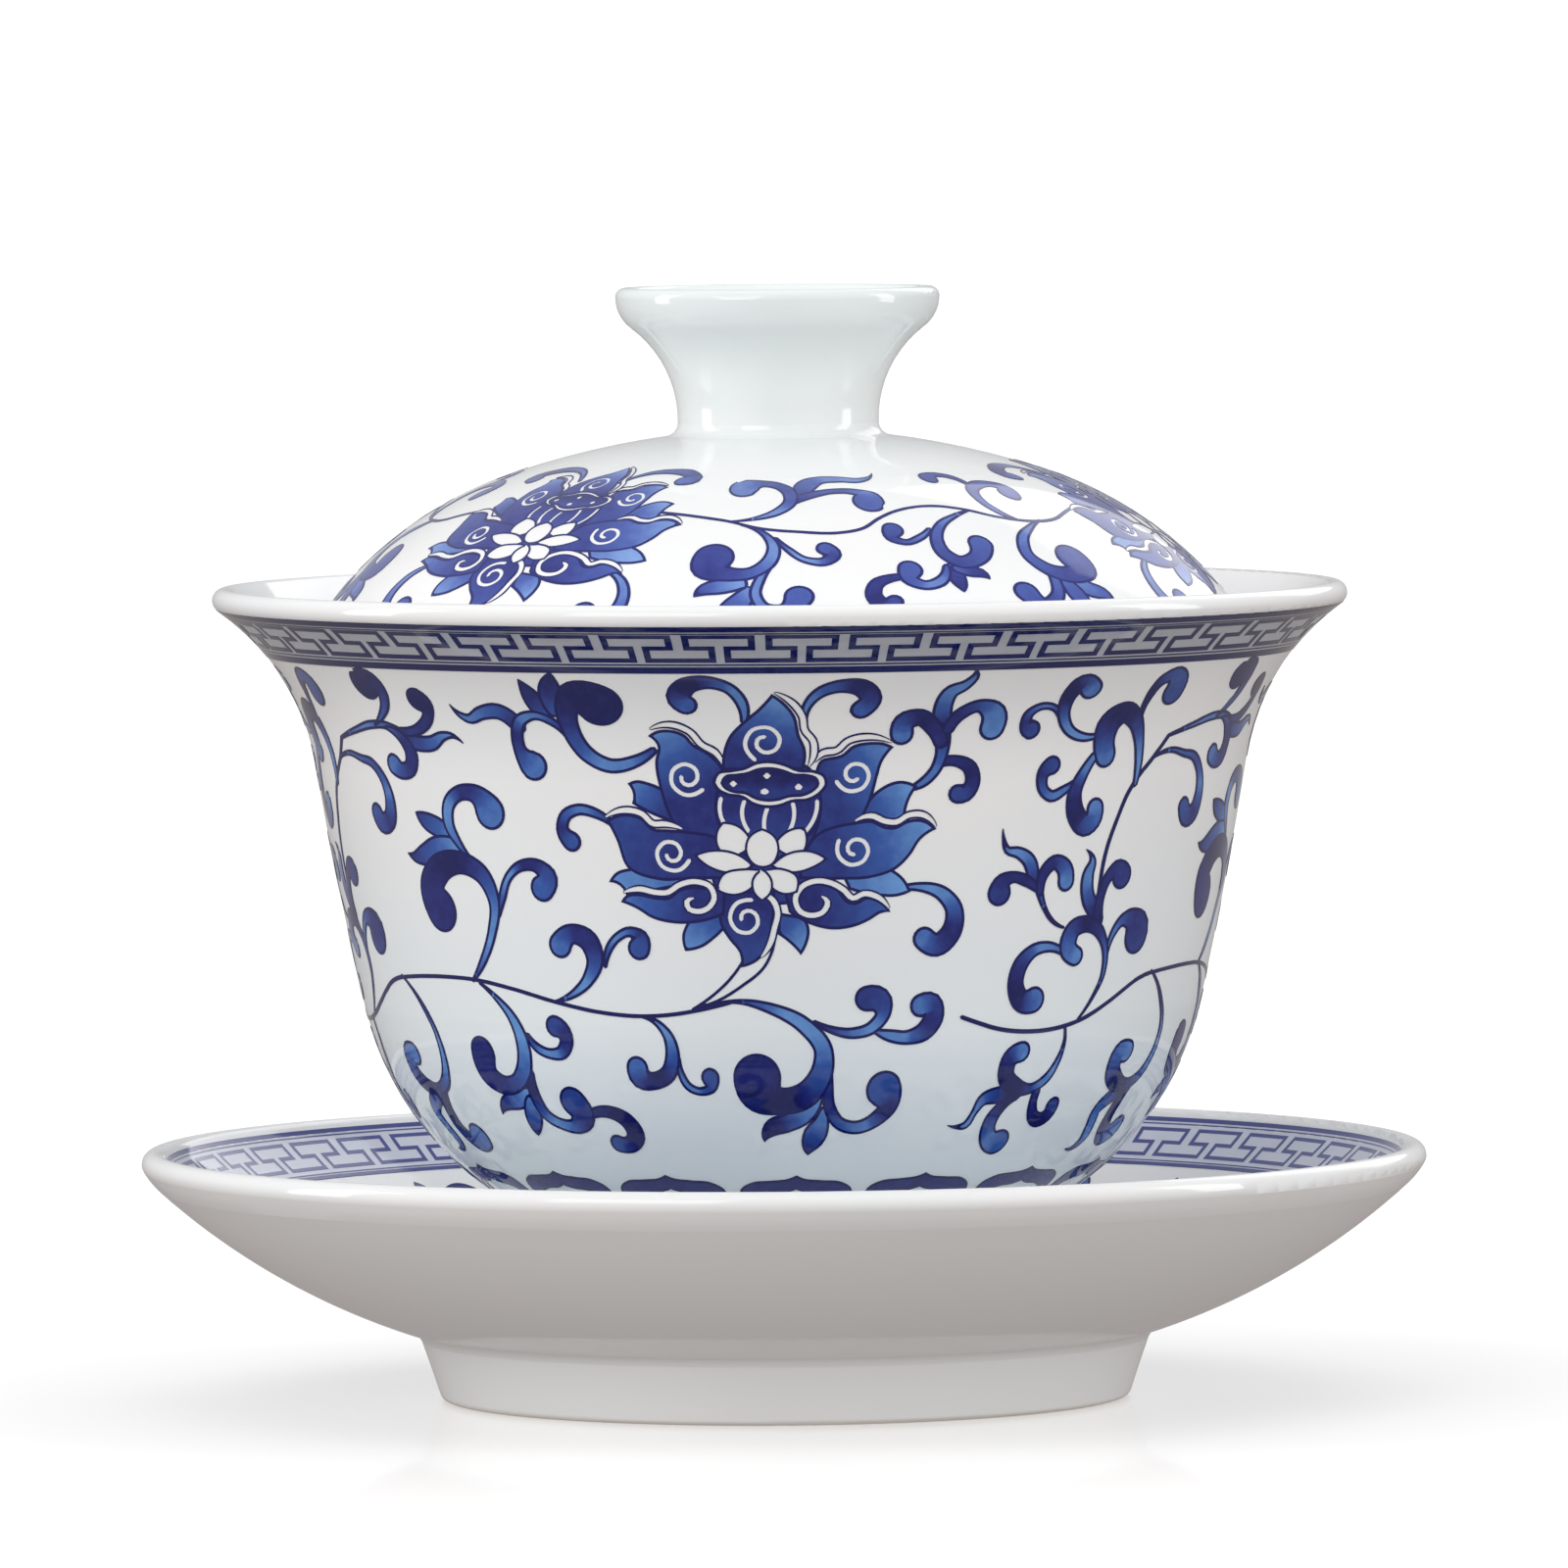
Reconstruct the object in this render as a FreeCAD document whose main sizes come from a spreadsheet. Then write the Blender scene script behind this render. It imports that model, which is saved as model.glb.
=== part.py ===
import FreeCAD, Part
import math
import os
import Sketcher

# A gaiwan: a covered porcelain tea bowl on a saucer, in millimetres.
# Z is the common axis, and the origin is the centre of the saucer's foot, on the table.
# Each of the three fired pieces is one body, turned from one closed half outline.

SIZES = {
    # Saucer
    "saucer_foot_bore": 28.0,
    "saucer_foot_radius": 31.0,
    "saucer_foot_top_radius": 33.0,
    "saucer_foot_height": 5.9,
    "saucer_recess_height": 5.2,
    "saucer_floor_height": 8.2,
    "saucer_wall": 2.3,
    "saucer_dish_curve": 62.0,
    "saucer_dish_height": 19.2,
    "saucer_rim_curve": 7.8,
    "saucer_rim_radius": 57.75,
    "saucer_rim_height": 20.95,
    "saucer_floor_blend": 12.0,
    "seat_ring_bore": 22.3,
    "seat_ring_radius": 24.9,
    "seat_ring_height": 1.0,
    # Bowl
    "bowl_foot_bore": 17.6,
    "bowl_foot_radius": 20.2,
    "bowl_foot_top_radius": 20.5,
    "bowl_foot_top_height": 15.8,
    "bowl_recess_height": 13.6,
    "bowl_floor_height": 16.7,
    "bowl_wall": 2.1,
    "bowl_belly_curve": 28.0,
    "bowl_belly_height": 35.7,
    "bowl_side_curve": 356.0,
    "bowl_neck_height": 57.6,
    "bowl_flare_curve": 21.0,
    "bowl_mouth_radius": 50.65,
    "bowl_mouth_height": 71.45,
    "bowl_floor_blend": 10.0,
    # Lid
    "lid_wall": 2.1,
    "lid_crown_curve": 76.0,
    "lid_shoulder_radius": 23.8,
    "lid_shoulder_curve": 35.6,
    "lid_rim_height": 67.93,
    # Knob of the lid
    "knob_root_height": 86.85,
    "knob_root_blend": 1.2,
    "knob_waist_radius": 9.05,
    "knob_waist_curve": 10.3,
    "knob_lip_underside_curve": 3.5,
    "knob_lip_curve": 0.85,
    "knob_radius": 14.6,
    "knob_top_height": 100.1,
    "knob_cup_radius": 9.4,
    "knob_cup_height": 94.4,
    "knob_cup_blend": 2.5,
    # Foot rings of the saucer and the bowl
    "foot_edge_blend": 0.8,
    "foot_root_blend": 1.2,
}

# How a sketch numbers a piece's ends and centre, its own origin and its two axes
START = 1
END = 2
CENTRE = 3
ORIGIN = -1
LEVEL_AXIS = -1
UPRIGHT_AXIS = -2

LEFT = 1
RIGHT = -1


def make_sheet(doc):
    """Puts every driving size in a spreadsheet, under its own name."""
    sheet = doc.addObject("Spreadsheet::Sheet", "Sizes")
    for row, (name, value) in enumerate(SIZES.items(), start=1):
        sheet.set(f"A{row}", name)
        sheet.set(f"B{row}", str(value))
        sheet.setAlias(f"B{row}", name)
    doc.recompute()


def bound(measure):
    """A measure, such as 'bowl_wall / 2', as an expression that looks its sizes up in the sheet."""
    return " ".join(f"Sizes.{word}" if word in SIZES else word for word in measure.split())


class Outline:
    """A closed half outline in a sketch of its body: x is the radius from the axis, y the height.

    It is drawn as a pen moves, one straight side or arc after another. Each measure is bound to the
    sheet by an expression, and the same expression's value is where the piece is first drawn.
    """

    def __init__(self, body):
        self.sketch = body.newObject("Sketcher::SketchObject", f"{body.Name}_outline")
        plane = next(f for f in body.Origin.OriginFeatures if f.Role == "XZ_Plane")
        self.sketch.AttachmentSupport = (plane, [""])
        self.sketch.MapMode = "FlatFace"
        self.first = None
        self.last = None
        self.point = None
        self.heading = 0.0

    def place(self, x, y):
        """The point that two measures give now."""
        radius, height = (float(self.sketch.evalExpression(bound(m))) for m in (x, y))
        return FreeCAD.Vector(radius, height, 0)

    def constrain(self, kind, *arguments):
        return self.sketch.addConstraint(Sketcher.Constraint(kind, *arguments))

    def measure(self, kind, measure, *arguments):
        """Adds a constraint whose size is bound to the sheet."""
        value = float(self.sketch.evalExpression(bound(measure)))
        index = self.constrain(kind, *arguments, value)
        self.sketch.setExpression(f"Constraints[{index}]", bound(measure))

    def fix(self, vertex, x=None, y=None):
        """Holds a vertex, given as (piece, which end), at a radius, a height or both."""
        for kind, axis, measure in (("DistanceX", UPRIGHT_AXIS, x), ("DistanceY", LEVEL_AXIS, y)):
            if measure == "0":
                self.constrain("PointOnObject", *vertex, axis)
            elif measure is not None:
                self.measure(kind, measure, ORIGIN, START, *vertex)

    def begin(self, x, y):
        """Starts the outline at a point."""
        self.point = self.place(x, y)
        self.first = (x, y)

    def line(self, x, y, fixed=True):
        """A straight side to a corner. If it isn't fixed there, the arc that follows places its end."""
        corner = self.place(x, y)
        side = self.sketch.addGeometry(Part.LineSegment(self.point, corner))
        if self.last is None:
            self.fix((side, START), *self.first)
        else:
            self.constrain("Coincident", side, START, *self.last)
        if fixed:
            self.fix((side, END), x, y)
        self.heading = math.atan2(corner.y - self.point.y, corner.x - self.point.x)
        self.point = corner
        self.last = (side, END)

    def arc(self, radius, turn, sweep, end=(), centre=(), level_with=None, corner=None):
        """An arc that turns left or right from the last piece, and is tangent to it.

        Its radius, and the x and y of its end and its centre, are measures. level_with is an arc whose
        centre is as high. sweep is about how far it turns, in degrees, and only says where it is first
        drawn. At a corner the arc isn't tangent, and corner is about the way it sets off, in degrees.
        """
        if corner is not None:
            self.heading = math.radians(corner)
        reach = self.place(radius, "0").x
        across = self.heading + turn * math.pi / 2
        middle = self.point + FreeCAD.Vector(math.cos(across), math.sin(across), 0) * reach
        begins = across + math.pi
        ends = begins + turn * math.radians(sweep)
        circle = Part.Circle(middle, FreeCAD.Vector(0, 0, 1), reach)
        piece = self.sketch.addGeometry(Part.ArcOfCircle(circle, *sorted((begins, ends))))
        near, far = (START, END) if turn == LEFT else (END, START)
        self.constrain("Coincident" if corner is not None else "Tangent", *self.last, piece, near)
        self.measure("Radius", radius, piece)
        self.fix((piece, far), *end)
        self.fix((piece, CENTRE), *centre)
        if level_with is not None:
            self.constrain("Horizontal", piece, CENTRE, level_with, CENTRE)
        self.point = middle + FreeCAD.Vector(math.cos(ends), math.sin(ends), 0) * reach
        self.heading += turn * math.radians(sweep)
        self.last = (piece, far)
        return piece

    def close(self):
        """The last side, along the axis to the first point."""
        side = self.sketch.addGeometry(Part.LineSegment(self.point, self.place(*self.first)))
        self.constrain("Coincident", side, START, *self.last)
        self.constrain("Coincident", side, END, 0, START)


def make_body(doc, label):
    body = doc.addObject("PartDesign::Body", label)
    body.Label = label
    body.Placement = FreeCAD.Placement()
    return body


def turn_round(body, outline):
    """Turns the closed outline once round the Z axis."""
    turned = body.newObject("PartDesign::Revolution", f"{body.Name}_turned")
    turned.Profile = outline.sketch
    turned.ReferenceAxis = (outline.sketch, ["V_Axis"])
    turned.Angle = 360
    body.Document.recompute()


def round_edges(body, outline, radius, corners):
    """Rounds the circles that the outline's corners, given as (piece, which end), were turned into."""
    base = body.Tip
    points = [outline.sketch.getPoint(*corner) for corner in corners]
    edges = []
    for number, edge in enumerate(base.Shape.Edges, start=1):
        if edge.Degenerated or not isinstance(edge.Curve, Part.Circle):
            continue
        circle = (edge.Curve.Radius, edge.Curve.Center.z)
        if any(math.dist(circle, (point.x, point.y)) < 0.01 for point in points):
            edges.append(f"Edge{number}")
    if len(edges) != len(corners):
        raise ValueError(f"{body.Label}: found {len(edges)} of {len(corners)} edges for {radius}")
    rounded = body.newObject("PartDesign::Fillet", f"{body.Name}_{radius}")
    rounded.Base = (base, edges)
    rounded.setExpression("Radius", bound(radius))
    body.Document.recompute()


def make_saucer(doc):
    """A shallow dish on a foot ring. A low bead on its floor keeps the bowl's foot in the middle."""
    body = make_body(doc, "saucer")
    pen = Outline(body)
    pen.begin("0", "saucer_recess_height")
    pen.line("saucer_foot_bore", "saucer_recess_height")
    recess_corner = pen.last
    pen.line("saucer_foot_bore", "0")
    foot_inner_edge = pen.last
    pen.line("saucer_foot_radius", "0")
    foot_outer_edge = pen.last
    pen.line("saucer_foot_top_radius", "saucer_foot_height")
    foot_root = pen.last
    dish = pen.arc("saucer_dish_curve", LEFT, 25, end=(None, "saucer_dish_height"), corner=17)
    rim = pen.arc("saucer_rim_curve", LEFT, 16, end=("saucer_rim_radius", "saucer_rim_height"))
    pen.arc("saucer_wall / 2", LEFT, 180)
    pen.arc("saucer_rim_curve - saucer_wall", RIGHT, 16, level_with=rim)
    dish_end = (None, "saucer_floor_height")
    pen.arc("saucer_dish_curve - saucer_wall", RIGHT, 25, end=dish_end, level_with=dish)
    floor_edge = pen.last
    pen.line("seat_ring_radius", "saucer_floor_height")
    bead_half = "( seat_ring_radius - seat_ring_bore ) / 2"
    bead_curve = f"( ( {bead_half} ) ^ 2 + seat_ring_height ^ 2 ) / ( 2 * seat_ring_height )"
    pen.arc(bead_curve, LEFT, 150, end=("seat_ring_bore", "saucer_floor_height"), corner=105)
    pen.line("0", "saucer_floor_height")
    pen.close()
    turn_round(body, pen)
    round_edges(body, pen, "saucer_floor_blend", [floor_edge])
    round_edges(body, pen, "foot_root_blend", [foot_root, recess_corner])
    round_edges(body, pen, "foot_edge_blend", [foot_inner_edge, foot_outer_edge])
    return body


def make_bowl(doc):
    """A deep cup with a flared mouth. Its foot ring stands on the saucer's floor."""
    body = make_body(doc, "bowl")
    pen = Outline(body)
    pen.begin("0", "bowl_recess_height")
    pen.line("bowl_foot_bore", "bowl_recess_height")
    recess_corner = pen.last
    pen.line("bowl_foot_bore", "saucer_floor_height")
    foot_inner_edge = pen.last
    pen.line("bowl_foot_radius", "saucer_floor_height")
    foot_outer_edge = pen.last
    pen.line("bowl_foot_top_radius", "bowl_foot_top_height")
    foot_root = pen.last
    belly = pen.arc("bowl_belly_curve", LEFT, 55, end=(None, "bowl_belly_height"), corner=22)
    side = pen.arc("bowl_side_curve", LEFT, 3.6, end=(None, "bowl_neck_height"))
    flare = pen.arc("bowl_flare_curve", RIGHT, 47, end=("bowl_mouth_radius", "bowl_mouth_height"))
    pen.arc("bowl_wall / 2", LEFT, 180)
    pen.arc("bowl_flare_curve + bowl_wall", LEFT, 47, level_with=flare)
    pen.arc("bowl_side_curve - bowl_wall", RIGHT, 3.6, level_with=side)
    belly_end = (None, "bowl_floor_height")
    pen.arc("bowl_belly_curve - bowl_wall", RIGHT, 65, end=belly_end, level_with=belly)
    floor_edge = pen.last
    pen.line("0", "bowl_floor_height")
    pen.close()
    turn_round(body, pen)
    round_edges(body, pen, "bowl_floor_blend", [floor_edge])
    round_edges(body, pen, "foot_root_blend", [foot_root, recess_corner])
    round_edges(body, pen, "foot_edge_blend", [foot_inner_edge, foot_outer_edge])
    return body


def make_lid(doc):
    """A dome whose rim sits inside the bowl's flare, with a waisted knob that is hollow on top."""
    body = make_body(doc, "lid")
    pen = Outline(body)
    pen.begin("0", "knob_cup_height")
    pen.line("knob_cup_radius", "knob_cup_height")
    cup_corner = pen.last
    lip_centre = ("knob_radius - knob_lip_curve", "knob_top_height - knob_lip_curve")
    pen.line("knob_radius - 2 * knob_lip_curve", "knob_top_height - knob_lip_curve", fixed=False)
    lip = pen.arc("knob_lip_curve", RIGHT, 145, centre=lip_centre)
    pen.arc("knob_lip_underside_curve", RIGHT, 53, level_with=lip)
    waist_centre = ("knob_waist_radius + knob_waist_curve", None)
    pen.arc("knob_waist_curve", LEFT, 60, end=(None, "knob_root_height"), centre=waist_centre)
    knob_root = pen.last
    crown_end = ("lid_shoulder_radius", None)
    crown = pen.arc("lid_crown_curve", RIGHT, 11, end=crown_end, centre=("0", None), corner=-7)
    shoulder = pen.arc("lid_shoulder_curve", RIGHT, 38, end=(None, "lid_rim_height"))
    pen.arc("lid_wall / 2", RIGHT, 180)
    pen.arc("lid_shoulder_curve - lid_wall", LEFT, 38, level_with=shoulder)
    pen.arc("lid_crown_curve - lid_wall", LEFT, 18, end=("0", None), level_with=crown)
    pen.close()
    turn_round(body, pen)
    round_edges(body, pen, "knob_cup_blend", [cup_corner])
    round_edges(body, pen, "knob_root_blend", [knob_root])
    return body


def main():
    doc = FreeCAD.newDocument("gaiwan")
    make_sheet(doc)
    bodies = [make_saucer(doc), make_bowl(doc), make_lid(doc)]
    doc.recompute()
    for item in doc.Objects:
        if "Invalid" in item.State or "Error" in item.State:
            raise ValueError(f"{item.Label} did not compute: {item.State}")
    os.makedirs("parts", exist_ok=True)
    for body in bodies:
        if body.Shape.isNull() or not body.Shape.isValid():
            raise ValueError(f"{body.Label} has no valid shape")
        body.Shape.exportStep(f"parts/{body.Label}.step")


main()
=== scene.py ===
"""The looks of a gaiwan: white porcelain with blue painted lotus scrolls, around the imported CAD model.

The porcelain is the CAD nodes with better materials. The painting is thin raised film on their walls, in
metres: it is drawn flat in millimetres, u round the wall and v along it, and then laid on the wall.
"""

import math

import bpy
import numpy as np
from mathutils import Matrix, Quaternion, Vector
from mathutils.geometry import delaunay_2d_cdt


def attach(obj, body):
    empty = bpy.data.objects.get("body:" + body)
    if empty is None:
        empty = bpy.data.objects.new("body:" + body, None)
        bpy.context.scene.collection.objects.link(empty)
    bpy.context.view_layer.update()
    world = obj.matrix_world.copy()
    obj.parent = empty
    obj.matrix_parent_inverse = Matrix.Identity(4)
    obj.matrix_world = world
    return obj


MM = 0.001
STEP = 0.35  # between the points of a drawn line, in mm
GRID = 1.3  # between the points that keep wide film on its curved wall, in mm
SLACK = 0.03  # how far off a shape's edge a point may be and still be on it, in mm
EDGE = 0.27  # the dark line round a painted shape, in mm
TIP = 0.03  # the least half width of a stroke, in mm
HOLLOW = 0.02  # where the dark edges leave less than this half width, nothing is between them, in mm
STEEPEST = 0.95  # the most that a stroke's half width may change in a mm along it
NAVY = 9  # the darkest tone
MERGE = 0.0001  # points this close are one, in mm
FILM_TOP = 0.05  # how far the film stands above the porcelain, in mm
FILM_BOTTOM = -0.04  # its underside lies this far inside the wall
BELT_TOP = 0.02  # how far the belt film under a band stands above the porcelain: painted shade under the bowl's lip, a lavender tint under the saucer's fret
WHITE, LINE, WASH = 0, 1, 2  # what a spot of the painting is
FACES_UP, FACES_DOWN = 1, -1  # which way a painted wall looks
THIRDS = 3  # the scrolls of the bowl and the lid repeat three times round

GLAZE_ROUGHNESS = 0.07
LINE_DRIFT, WASH_DRIFT = 0.02, 0.05  # how far the cobalt's tone drifts in a line and in a wash
NO_FOOT = -1  # a height in metres
WARM_WHITE = (0.88, 0.875, 0.87)
COOL_WHITE = (0.86, 0.875, 0.875)
CELADON = (0.81, 0.86, 0.855)
ICE_BLUE = (0.79, 0.88, 0.90)
BISCUIT = (0.80, 0.77, 0.72)
# painted shade: the grey ground of the bowl's fret stands in for the shadow under the lip's flare
BAND_PAINTED_SHADE = (0.46, 0.48, 0.53)
BAND_LAVENDER = (0.60, 0.62, 0.72)

# Cobalt from the palest wash to navy, as (depth, colour)
BLUES = [
    (0.0, (0.15, 0.34, 0.70)),
    (0.45, (0.035, 0.10, 0.38)),
    (0.85, (0.016, 0.024, 0.18)),
    (1.0, (0.006, 0.009, 0.10)),
]
LID_BLUES = [
    (0.0, (0.22, 0.37, 0.72)),
    (0.45, (0.07, 0.12, 0.42)),
    (0.85, (0.03, 0.04, 0.24)),
    (1.0, (0.015, 0.02, 0.15)),
]
SOFT_BLUES = [
    (0.0, (0.28, 0.40, 0.70)),
    (0.45, (0.12, 0.18, 0.45)),
    (1.0, (0.06, 0.075, 0.26)),
]

SKY_LIGHT = (0.53, 0.53, 0.54)
TABLE_LIGHT = (0.38, 0.35, 0.335)
FLOOR_GLOW_NEAR = 0.27  # how strongly the floor glows by the piece, where its shadow lies
FLOOR_GLOW_FAR = 0.54  # and further off, where it is plain white
GLOW_STARTS, GLOW_ENDS = 0.045, 0.15  # where one turns into the other, in metres from the axis

SEAM_SQUEEZE = (0.92, 1)  # what is drawn right of the flame closes up by 8 % along u
SEAM_SHIFT = (-84.46, 0)  # and moves to the left of it, about a third of the way round, in mm
SEAM_LAST_SHIFT = (-85, 0)

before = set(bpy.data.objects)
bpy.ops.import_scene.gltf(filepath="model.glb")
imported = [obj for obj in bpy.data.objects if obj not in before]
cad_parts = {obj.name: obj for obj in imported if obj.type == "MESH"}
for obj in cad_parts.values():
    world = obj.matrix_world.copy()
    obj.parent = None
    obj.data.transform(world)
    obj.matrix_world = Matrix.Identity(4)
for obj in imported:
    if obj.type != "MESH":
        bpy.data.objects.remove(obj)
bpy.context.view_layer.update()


# ---------------------------------------------------------------- shapes drawn flat, in mm


def smooth_line(rows):
    """Points along a smooth curve through the rows, with the other columns, such as a width, eased too."""
    rows = np.array(rows, float)
    gaps = np.hypot(*np.diff(rows[:, :2], axis=0).T)
    at = np.concatenate([[0], np.cumsum(gaps)])
    slopes = np.diff(rows, axis=0) / gaps[:, None]
    if len(rows) == 2:
        tangents = np.vstack([slopes, slopes])
    else:
        before, after = gaps[:-1, None], gaps[1:, None]
        inner = (slopes[:-1] * after + slopes[1:] * before) / (before + after)
        tangents = np.vstack([2 * slopes[0] - inner[0], inner, 2 * slopes[-1] - inner[-1]])
    where = np.linspace(0, at[-1], max(3, round(at[-1] / STEP) + 1))
    span = np.clip(np.searchsorted(at, where, side="right") - 1, 0, len(gaps) - 1)
    gap = gaps[span][:, None]
    t = (where - at[span])[:, None] / gap
    start, end = rows[span], rows[span + 1]
    leave, arrive = tangents[span] * gap, tangents[span + 1] * gap
    return (
        (2 * t**3 - 3 * t**2 + 1) * start
        + (t**3 - 2 * t**2 + t) * leave
        + (3 * t**2 - 2 * t**3) * end
        + (t**3 - t**2) * arrive
    )


class Stroke:
    """A brush stroke: a smooth line whose width changes along it, with a dark edge and a wash inside.

    tones are digits along it, from 0 for the palest wash to 9 for navy. None leaves the porcelain white.
    """

    def __init__(self, tones, points, edge=EDGE):
        line = smooth_line(points)
        self.centre = line[:, :2]
        self.half = np.maximum(line[:, 2] / 2, TIP)
        self.edge = edge
        self.white = tones is None
        digits = [int(digit) / NAVY for digit in tones or "0"]
        self.tones = np.interp(np.linspace(0, 1, len(line)), np.linspace(0, 1, len(digits)), digits)

    def moved(self, scale, shift):
        other = object.__new__(Stroke)
        other.__dict__.update(self.__dict__)
        other.centre = self.centre * scale + shift
        other.half = self.half * math.sqrt(abs(scale[0] * scale[1]))
        return other

    def box(self):
        reach = self.half.max()
        return self.centre.min(0) - reach, self.centre.max(0) + reach

    def depth(self, points):
        """How far inside the stroke each point lies, less than 0 outside it, and the tone there."""
        along = np.diff(self.centre, axis=0)
        from_start = points[:, None] - self.centre[None, :-1]
        share = np.clip((from_start * along).sum(2) / (along**2).sum(1), 0, 1)
        away = np.linalg.norm(from_start - along * share[..., None], axis=2)
        depths = self.half[:-1] + np.diff(self.half) * share - away
        best = depths.argmax(1)
        rows = np.arange(len(points))
        tone = self.tones[best] + np.diff(self.tones)[best] * share[rows, best]
        return depths[rows, best], tone

    def rim(self, inset):
        """The closed line that lies that far inside the stroke's edge."""
        thick = self.half - inset > HOLLOW
        if thick.sum() < 3:
            return np.zeros((0, 2))
        centre, half = self.centre[thick], self.half[thick] - inset
        ahead = np.gradient(centre, axis=0)
        pace = np.linalg.norm(ahead, axis=1)
        ahead = ahead / pace[:, None]
        left = np.stack([-ahead[:, 1], ahead[:, 0]], 1)
        growth = np.clip(np.gradient(half) / pace, -STEEPEST, STEEPEST)[:, None]
        across = left * np.sqrt(1 - growth**2)
        one_side = centre + half[:, None] * (across - growth * ahead)
        other_side = centre - half[:, None] * (across + growth * ahead)
        far_cap = round_cap(centre[-1], half[-1], ahead[-1])
        near_cap = round_cap(centre[0], half[0], -ahead[0])
        loop = np.vstack([one_side, far_cap, other_side[::-1], near_cap])
        return loop[self.depth(loop)[0] < inset + SLACK]


def round_cap(centre, radius, ahead):
    """Points on the half circle that ends a stroke going ahead, from its left side to its right."""
    count = max(3, round(math.pi * radius / STEP))
    angles = math.atan2(ahead[1], ahead[0]) + np.linspace(math.pi / 2, -math.pi / 2, count)
    return centre + radius * np.stack([np.cos(angles), np.sin(angles)], 1)


class Petal:
    """A shape inside a closed outline, made of smooth runs that meet at corners.

    Each run starts where the one before it ends, the first one at the end of the last.
    shade is the wash: (tone, x, y) at two places, with an even change between. None leaves it white.
    """

    def __init__(self, shade, *runs, edge=EDGE):
        starts = [runs[k - 1][-1] for k in range(len(runs))]
        self.loop = np.vstack([smooth_line([start, *run])[:-1] for start, run in zip(starts, runs)])
        self.shade = np.array(shade, float) if shade is not None else None
        self.white = shade is None
        self.edge = edge

    def moved(self, scale, shift):
        other = object.__new__(Petal)
        other.__dict__.update(self.__dict__)
        other.loop = self.loop * scale + shift
        if not self.white:
            other.shade = self.shade.copy()
            other.shade[:, 1:] = self.shade[:, 1:] * scale + shift
        return other

    def box(self):
        return self.loop.min(0), self.loop.max(0)

    def depth(self, points):
        """How far inside the outline each point lies, less than 0 outside it, and the tone there."""
        start, end = self.loop, np.roll(self.loop, -1, axis=0)
        along = end - start
        from_start = points[:, None] - start[None]
        share = np.clip((from_start * along).sum(2) / np.maximum((along**2).sum(1), 1e-9), 0, 1)
        away = np.linalg.norm(from_start - along * share[..., None], axis=2).min(1)
        x, y = points[:, :1], points[:, 1:]
        spans = (start[:, 1] > y) != (end[:, 1] > y)
        rise = np.where(along[:, 1] == 0, 1, along[:, 1])
        crossing = x < start[:, 0] + (y - start[:, 1]) / rise * along[:, 0]
        inside = (spans & crossing).sum(1) % 2 == 1
        if self.white:
            return np.where(inside, away, -away), np.zeros(len(points))
        (tone_a, *a), (tone_b, *b) = self.shade
        way = np.array(b) - a
        share = np.clip((points - a) @ way / (way @ way), 0, 1)
        return np.where(inside, away, -away), (tone_a + (tone_b - tone_a) * share) / NAVY

    def rim(self, inset):
        """The closed line that lies that far inside the outline."""
        if inset == 0:
            return self.loop
        ahead = np.roll(self.loop, -1, axis=0) - np.roll(self.loop, 1, axis=0)
        ahead /= np.linalg.norm(ahead, axis=1)[:, None]
        left = np.stack([-ahead[:, 1], ahead[:, 0]], 1)
        x, y = self.loop.T
        turn = np.sign((x * np.roll(y, -1) - np.roll(x, -1) * y).sum())
        inner = self.loop + left * turn * inset
        return inner[abs(self.depth(inner)[0] - inset) < SLACK]


def dark_line(width, *points):
    """A plain navy line."""
    return Stroke("9", [(x, y, width) for x, y in points], edge=width)


def rectangle(left, right, low, high, edge):
    """An upright rectangle with a dark line of that width inside it, and the palest wash in the rest."""
    sides = [(right, low)], [(right, high)], [(left, high)], [(left, low)]
    return Petal(((0, 0, 0), (0, 1, 0)), *sides, edge=edge)


def white_line(width, *points):
    """A line left white in what is painted under it."""
    return Stroke(None, [(x, y, width) for x, y in points], edge=0)


def white_rim(*points):
    """A white line with a dark line on each side, thinner at its ends, as along a petal's upper edge."""
    dark_width, white_width, thin_end = 0.80, 0.48, 0.35
    share = [thin_end] + [1.0] * (len(points) - 2) + [thin_end]
    dark = [(x, y, dark_width * part) for (x, y), part in zip(points, share)]
    white = [(x, y, white_width * part) for (x, y), part in zip(points, share)]
    return [Stroke("9", dark, edge=1), Stroke(None, white, edge=0)]


def white_curl(x, y, size, start, turns):
    """A white line that winds in round a point from that angle, anticlockwise for positive turns."""
    width, tightening = 0.38, 0.72
    points = []
    for share in np.linspace(0, 1, 10):
        angle = math.radians(start + 360 * turns * share)
        reach = size * (1 - tightening * share)
        points.append((x + reach * math.cos(angle), y + reach * math.sin(angle)))
    return white_line(width, *points)


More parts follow.
